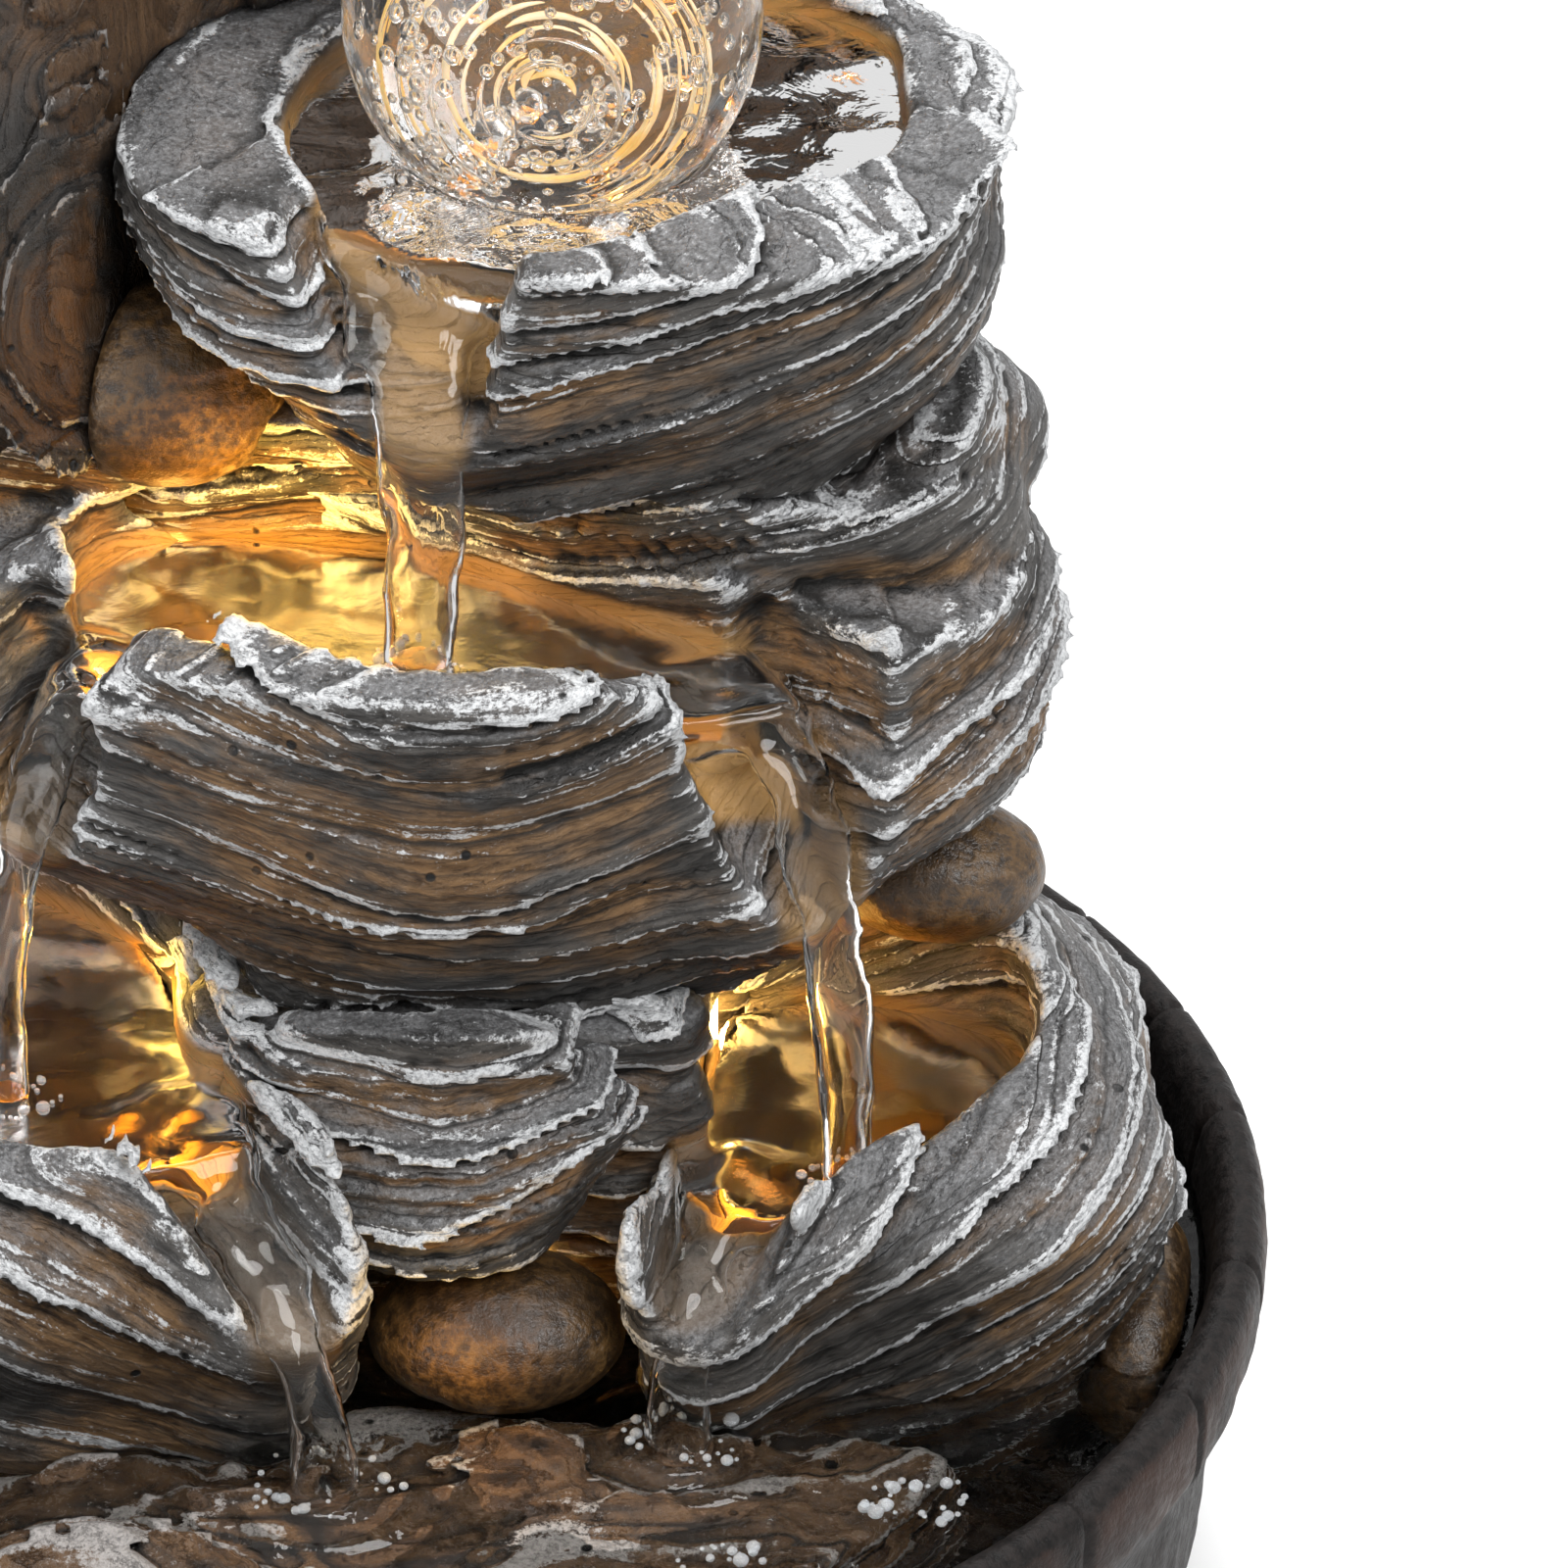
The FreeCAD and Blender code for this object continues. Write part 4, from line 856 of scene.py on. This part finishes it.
def make_water():
    clear = water_paint("water", (0.93, 0.93, 0.90))
    # painted light: the pools' amber tint colours the standing water with the warm glow of the lamps beneath
    # it; the water itself is clear
    amber = water_paint("amber_water", (1.0, 0.72, 0.28), 0.08, 0.16)
    top = WaterBody((-45, -8, 130), (70, 90, 186), 0.85)
    top.pool(BOWL_CUP, [(169, 0.86), (176, 0.96), (183, 1.0)], 181.2, 2.0, 0.5)
    top.stream(BALL_STREAM, 2.2)
    top.without_ball(BALL_CENTRE, BALL_R + 0.25)
    middle = WaterBody((-60, -45, 70), (80, 45, 138), 0.85)
    middle.pool(MIDDLE_POOL, [(122, 0.78), (128, 0.95), (135, 1.0)], 133.6, 2.0, 0.3)
    middle.stream(MIDDLE_RIGHT_STREAM, 1.9)
    middle.stream(MIDDLE_LEFT_STREAM, 1.8)
    left = WaterBody((-90, -54, 48), (8, 36, 92), 0.85)
    left.pool(LEFT_POOL, [(74, 0.80), (80, 0.95), (86, 1.0)], 85.6, 2.2, 0.3)
    left.stream(LEFT_STREAM, 2.0)
    right = WaterBody((20, -48, 48), (88, 28, 82), 0.85)
    right.pool(RIGHT_POOL, [(64, 0.76), (70, 0.95), (76, 1.0)], 75.4, 2.2, 0.3)
    right.stream(RIGHT_STREAM, 1.9)
    for body, name, paint, outline in ((top, "water_bowl", clear, BOWL_CUP),
                                       (middle, "water_middle", amber, MIDDLE_POOL),
                                       (left, "water_left", amber, LEFT_POOL),
                                       (right, "water_right", amber, RIGHT_POOL)):
        obj = body.mesh(name, outline)
        show(obj, paint)
        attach(obj, "root")
    make_basin_water(clear)


def make_basin_water(paint):
    """The pool in the basin, with rings round the places where the streams fall."""
    level, around = 51.2, 288
    foot, floor = 94.0, 20.0
    radii = np.linspace(0, 97.9, 110)
    turn = np.arange(around) * 2 * math.pi / around
    r, a = np.meshgrid(radii[1:], turn)
    x, y = r * np.cos(a), r * np.sin(a)
    noise = Noise(97)
    flat = np.stack([x, y, np.zeros_like(x)], -1).reshape(-1, 3).astype(np.float32)
    wave = 0.5 * noise(flat, (13, 13, 9)) + 0.28 * noise(flat + 40, (5, 5, 9))
    for sx, sy, reach in ((-8, -49, 16), (34, -40, 14)):
        d = np.hypot(flat[:, 0] - sx, flat[:, 1] - sy)
        wave += 0.9 * np.cos(d * 1.1) * np.exp(-(d / reach) ** 2)
    top = np.stack([x.ravel(), y.ravel(), level + wave], -1)
    rings = len(radii) - 1
    rim = np.stack([foot * np.cos(turn), foot * np.sin(turn), np.full(around, floor)], -1)
    points = np.concatenate([top, rim, [[0, 0, level]], [[0, 0, floor]]])
    k = np.arange(around)
    nxt = (k + 1) % around
    faces = []
    for j in range(rings - 1):
        here, beside = k * rings + j, nxt * rings + j
        faces += np.stack([here, here + 1, beside + 1, beside], -1).tolist()
    base = around * rings
    edge = k * rings + rings - 1
    edge_next = nxt * rings + rings - 1
    faces += np.stack([edge, base + k, base + nxt, edge_next], -1).tolist()
    faces += np.stack([np.full(around, base + around), k * rings, nxt * rings], -1).tolist()
    faces += np.stack([np.full(around, base + around + 1), base + nxt, base + k], -1).tolist()
    obj = mixed_object("water_basin", points, faces)
    show(obj, paint)
    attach(obj, "root")


def joined(pieces):
    """Several pairs of points and faces as one pair."""
    faces, count = [], 0
    for points, sides in pieces:
        faces += [tuple(i + count for i in f) for f in sides]
        count += len(points)
    return np.concatenate([points for points, _ in pieces]), faces


def make_foam():
    """Small bubbles that gather where the streams fall."""
    rng = np.random.default_rng(99)
    pieces = []
    bubble, bubble_faces = ball_shell(1.0, 8, 14)
    falls = [(-8, -49, 52.2, 9), (34, -40, 52.2, 8), (-45.5, -17, 85.7, 6), (54, -19.5, 75.5, 5),
             (3.6, 3.4, 133.7, 6), (40, -66, 52.3, 7), (-40, -64, 52.3, 8), (62, -52, 52.3, 6)]
    for x, y, z, reach in falls:
        for _ in range(26):
            turn, away = rng.uniform(0, 6.28), reach * rng.uniform(0.5, 1.15)
            size = 0.28 + 0.75 * rng.uniform() ** 3
            place = (x + away * math.cos(turn), y + 0.7 * away * math.sin(turn), z)
            pieces.append((bubble * size * (1, 1, 0.8) + place, bubble_faces))
    obj = mixed_object("foam", *joined(pieces))
    m = Paint("foam")
    film = m.noise(m.place(), 900.0, 2.0)
    m.set(Base_Color=m.mix(m.ramp(film, 0.3, 0.7), (0.80, 0.83, 0.85), (0.95, 0.96, 0.97)),
          Normal=m.bump(film, 0.0002, 0.4), Transmission_Weight=0.75, IOR=1.12, Roughness=0.08)
    show(obj, m.material)
    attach(obj, "root")


# ---------------------------------------------------------------- ball
def ball_shell(radius, rings, segments, flip=False):
    """Points and faces of a round shell about the origin; flipped, it bounds a hole."""
    points = [(0, 0, radius)]
    for i in range(1, rings):
        polar = math.pi * i / rings
        for j in range(segments):
            turn = 2 * math.pi * j / segments
            out = radius * math.sin(polar)
            points.append((out * math.cos(turn), out * math.sin(turn), radius * math.cos(polar)))
    points.append((0, 0, -radius))
    faces = []
    last = len(points) - 1
    for j in range(segments):
        n = (j + 1) % segments
        faces.append((0, 1 + j, 1 + n))
        for i in range(rings - 2):
            a, b = 1 + i * segments, 1 + (i + 1) * segments
            faces.append((a + j, b + j, b + n, a + n))
        a = 1 + (rings - 2) * segments
        faces.append((a + j, last, a + n))
    if flip:
        faces = [f[::-1] for f in faces]
    return np.array(points), faces


def arc_shell(off, depth, start, sweep, thick):
    """A thin tapering hole along an arc round the Y axis, as points and inward faces."""
    steps, sides = 28, 8
    points, faces = [], []
    for i in range(steps + 1):
        turn = start + sweep * i / steps
        size = thick * max(math.sin(math.pi * i / steps), 0.02) ** 0.5
        for j in range(sides):
            a = 2 * math.pi * j / sides
            r = off + size * math.cos(a)
            points.append((r * math.cos(turn), depth + size * math.sin(a), r * math.sin(turn)))
    for i in range(steps):
        for j in range(sides):
            a, b = i * sides + j, i * sides + (j + 1) % sides
            faces.append((a, b, b + sides, a + sides))
    faces.append(tuple(range(sides))[::-1])
    faces.append(tuple(steps * sides + j for j in range(sides)))
    return np.array(points), faces


def make_ball():
    """Solid glass with rings of small bubbles and streaks of air round its level axis."""
    pieces = [ball_shell(BALL_R - 0.02, 96, 160)]
    bubble, bubble_faces = ball_shell(1.0, 6, 10, flip=True)
    rng = np.random.default_rng(61)
    for ring in range(12):
        off = 2.2 + 1.72 * ring
        number = int(6 + off * 2.3)
        start = rng.uniform(0, 6.28)
        shell = rng.uniform(18.5, 22.0) if off < 17 else 22.6
        depth = math.sqrt(max(shell ** 2 - off ** 2, 1.0))
        for k in range(number):
            turn = start + 2 * math.pi * (k + rng.uniform(-0.25, 0.25)) / number
            side = rng.choice([-1, -1, 1])
            away = side * depth * rng.uniform(0.8, 1.0)
            centre = np.array([off * math.cos(turn), away, off * math.sin(turn)])
            size = rng.uniform(0.35, 1.15) * (0.65 + off / 27)
            if np.linalg.norm(centre) + size > BALL_R - 1.0:
                centre *= (BALL_R - 1.0 - size) / np.linalg.norm(centre)
            pieces.append((bubble * size + centre, bubble_faces))
    for _ in range(34):
        off, start, sweep = rng.uniform(3.0, 19.0), rng.uniform(0, 6.28), rng.uniform(0.5, 2.2)
        shell = rng.uniform(20.5, 22.8)
        depth = rng.choice([-1, -1, 1]) * math.sqrt(shell ** 2 - off ** 2)
        pieces.append(arc_shell(off, depth, start, sweep, rng.uniform(0.18, 0.42)))
    points, faces = joined(pieces)
    obj = mixed_object("ball_glass", points + BALL_CENTRE, faces)
    show(obj, glass_paint("ball_glass"))
    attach(obj, "ball")
    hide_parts("glass_ball")


def make_swirl():
    """Painted lamplight in the ball: thin tapering arcs round its level axis that are coloured and glow warm,
    standing in for the lamplight caught in the glass.
    """
    rng = np.random.default_rng(67)
    pieces = []
    for ring in range(40):
        off = 2.0 + 16.0 * (ring / 40) ** 0.9 + rng.uniform(-0.5, 0.5)
        start, sweep = rng.uniform(0, 6.28), rng.uniform(0.7, 2.6)
        depth = -math.sqrt(rng.uniform(15.0, 19.5) ** 2 - min(off, 14.0) ** 2)
        arc, arc_faces = arc_shell(off, depth, start, sweep, rng.uniform(0.22, 0.5))
        pieces.append((arc, [f[::-1] for f in arc_faces]))
    points, faces = joined(pieces)
    obj = mixed_object("ball_swirl", points + BALL_CENTRE, faces)
    m = Paint("painted_lamplight_swirl")
    flow = m.noise(m.place(), 160.0, 3.0, 0.6)
    # painted light: the arcs are coloured and made to glow like warm lamplight, though they are no lamp
    m.set(Base_Color=m.mix(m.ramp(flow, 0.3, 0.7), (0.95, 0.62, 0.20), (1.0, 0.93, 0.78)),
          Normal=m.bump(flow, 0.0003, 0.5), Roughness=0.2,
          Emission_Color=(1.0, 0.62, 0.18), Emission_Strength=0.35)
    show(obj, m.material)
    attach(obj, "ball")


# ---------------------------------------------------------------- working parts
def dress_nodes():
    """A finish for each CAD node that is shown as it is."""
    rubber = plain_paint("rubber", (0.012, 0.012, 0.012), (0.03, 0.03, 0.03), 0.8, 500)
    black = plain_paint("black_plastic", (0.016, 0.016, 0.018), (0.04, 0.04, 0.043), 0.42, 700)
    ceramic = plain_paint("ceramic", (0.72, 0.71, 0.67), (0.85, 0.84, 0.80), 0.25, 500)
    ferrite = plain_paint("ferrite", (0.045, 0.045, 0.05), (0.09, 0.09, 0.095), 0.5, 600)
    steel = plain_paint("lamination", (0.28, 0.28, 0.30), (0.55, 0.55, 0.57), 0.38, 500, metallic=1.0,
                        grain=(0.1, 4, 0.1))
    copper = plain_paint("winding", (0.42, 0.15, 0.05), (0.80, 0.36, 0.16), 0.3, 600, 0.0004, 1.0, (1, 1, 3))
    resin = plain_paint("potting", (0.02, 0.02, 0.022), (0.05, 0.05, 0.055), 0.2, 150)
    board = plain_paint("board", (0.60, 0.62, 0.58), (0.80, 0.81, 0.77), 0.35, 400)
    lead = plain_paint("lead", (0.02, 0.02, 0.02), (0.05, 0.05, 0.05), 0.4, 600)
    hose = clear_paint("hose", (0.90, 0.93, 0.93))
    lens = clear_paint("lit_lens", (1.0, 0.8, 0.5), glow=30.0)
    finishes = [(("foot_pads", "cord_grommet", "suction_feet", "seal_ring"), rubber),
                (("rotor_shaft", "shaft_bush"), ceramic), (("rotor_magnet",), ferrite),
                (("stator_core",), steel), (("stator_coil",), copper), (("motor_resin",), resin),
                (("lamp_board",), board), (("lamp_lens",), lens), (("lead_",), lead),
                (("supply_tube",), hose)]
    for name, obj in frame["nodes"].items():
        if name not in STONE_NODES:
            show(obj, next((paint for starts, paint in finishes if name.startswith(starts)), black))


STONE_NODES = {name for nodes in ROCKS for name in nodes} | {
    "crag", "front_pebble", "right_pebble", "left_boulder", "side_rock", "basin", "glass_ball"}

make_slate_rocks()
make_crag()
make_pebbles()
make_basin()
make_water()
make_foam()
make_ball()
make_swirl()
dress_nodes()


# ---------------------------------------------------------------- floor, light and camera
WARM = (1.0, 0.57, 0.08)


def area_light(name, place, target, size, power):
    light = bpy.data.lights.new(name, "AREA")
    light.shape = "DISK"
    light.size = size
    light.energy = power
    obj = placed(name, light)
    obj.location = place
    obj.rotation_euler = (Vector(target) - Vector(place)).to_track_quat("-Z", "Y").to_euler()


def make_stage():
    """A pale flat floor, a bright even sky and three soft lights."""
    paint = Paint("floor_paint")
    tone = paint.noise(paint.place(), 3.0, 2.0)
    paint.set(Base_Color=paint.mix(paint.ramp(tone, 0.3, 0.7), (0.86, 0.86, 0.86), (0.88, 0.88, 0.88)),
              Roughness=0.6)
    points = [(x, y, 0.0) for y in (-4000, 4000) for x in (-4000, 4000)]
    floor = mesh_object("floor", points, [(0, 1, 3, 2)])
    show(floor, paint.material)
    world = bpy.data.worlds.new("studio")
    bpy.context.scene.world = world
    world.use_nodes = True
    world.node_tree.nodes["Background"].inputs[0].default_value = (1, 1, 1, 1)
    world.node_tree.nodes["Background"].inputs[1].default_value = 0.75
    bpy.context.scene.view_settings.view_transform = "Standard"
    area_light("key", (0.5, -0.55, 0.9), (0, 0, 0.12), 0.5, 8.0)
    area_light("fill", (-0.8, -0.5, 0.5), (0, 0, 0.12), 0.6, 3.0)
    area_light("top", (0.1, 0.25, 1.0), (0, 0, 0.15), 0.5, 7.0)


def make_camera():
    """Looks down 33 degrees from the front; the aim is right of the middle, so the left side is cut off."""
    elevation, distance = math.radians(33.0), 1.1
    aim = Vector((0.04635, 0.0, 0.1189))
    camera = bpy.data.cameras.new("camera")
    camera.sensor_width = 36.0
    camera.lens = 213.1
    obj = placed("camera", camera)
    obj.location = aim + distance * Vector((0, -math.cos(elevation), math.sin(elevation)))
    obj.rotation_euler = (math.pi / 2 - elevation, 0, 0)
    bpy.context.scene.camera = obj


def glow(name, place, radius, power):
    """A warm point light that is itself not seen."""
    light = bpy.data.lights.new(name, "POINT")
    light.shadow_soft_size = radius * MM
    light.energy = power
    light.color = WARM
    obj = placed(name, light)
    obj.location = Vector(place) * MM
    obj.visible_camera = obj.visible_transmission = obj.visible_glossy = False


def make_lamp_light():
    """The warm lamps' own light: in the water before each lens, and above it where it comes out."""
    for name, place, radius, power in (
            ("middle_glow", (-22, 18, 128), 3, 0.30), ("middle_spill", (-14, 15, 141), 5, 0.10),
            ("left_glow", (-40, 2, 81), 3, 0.40), ("left_spill", (-31, 2, 90), 3, 0.022),
            ("right_glow", (51, 5, 73), 3, 0.26), ("right_spill", (44, 4, 80), 3, 0.022),
            ("front_spill", (8, -44, 67), 4, 0.010), ("ball_glow", (34, 60, 174), 3, 0.35),
            ("ball_spill", (21, 52, 177), 3, 0.05)):
        glow("lamp_" + name, place, radius, power)


make_stage()
make_lamp_light()
make_camera()
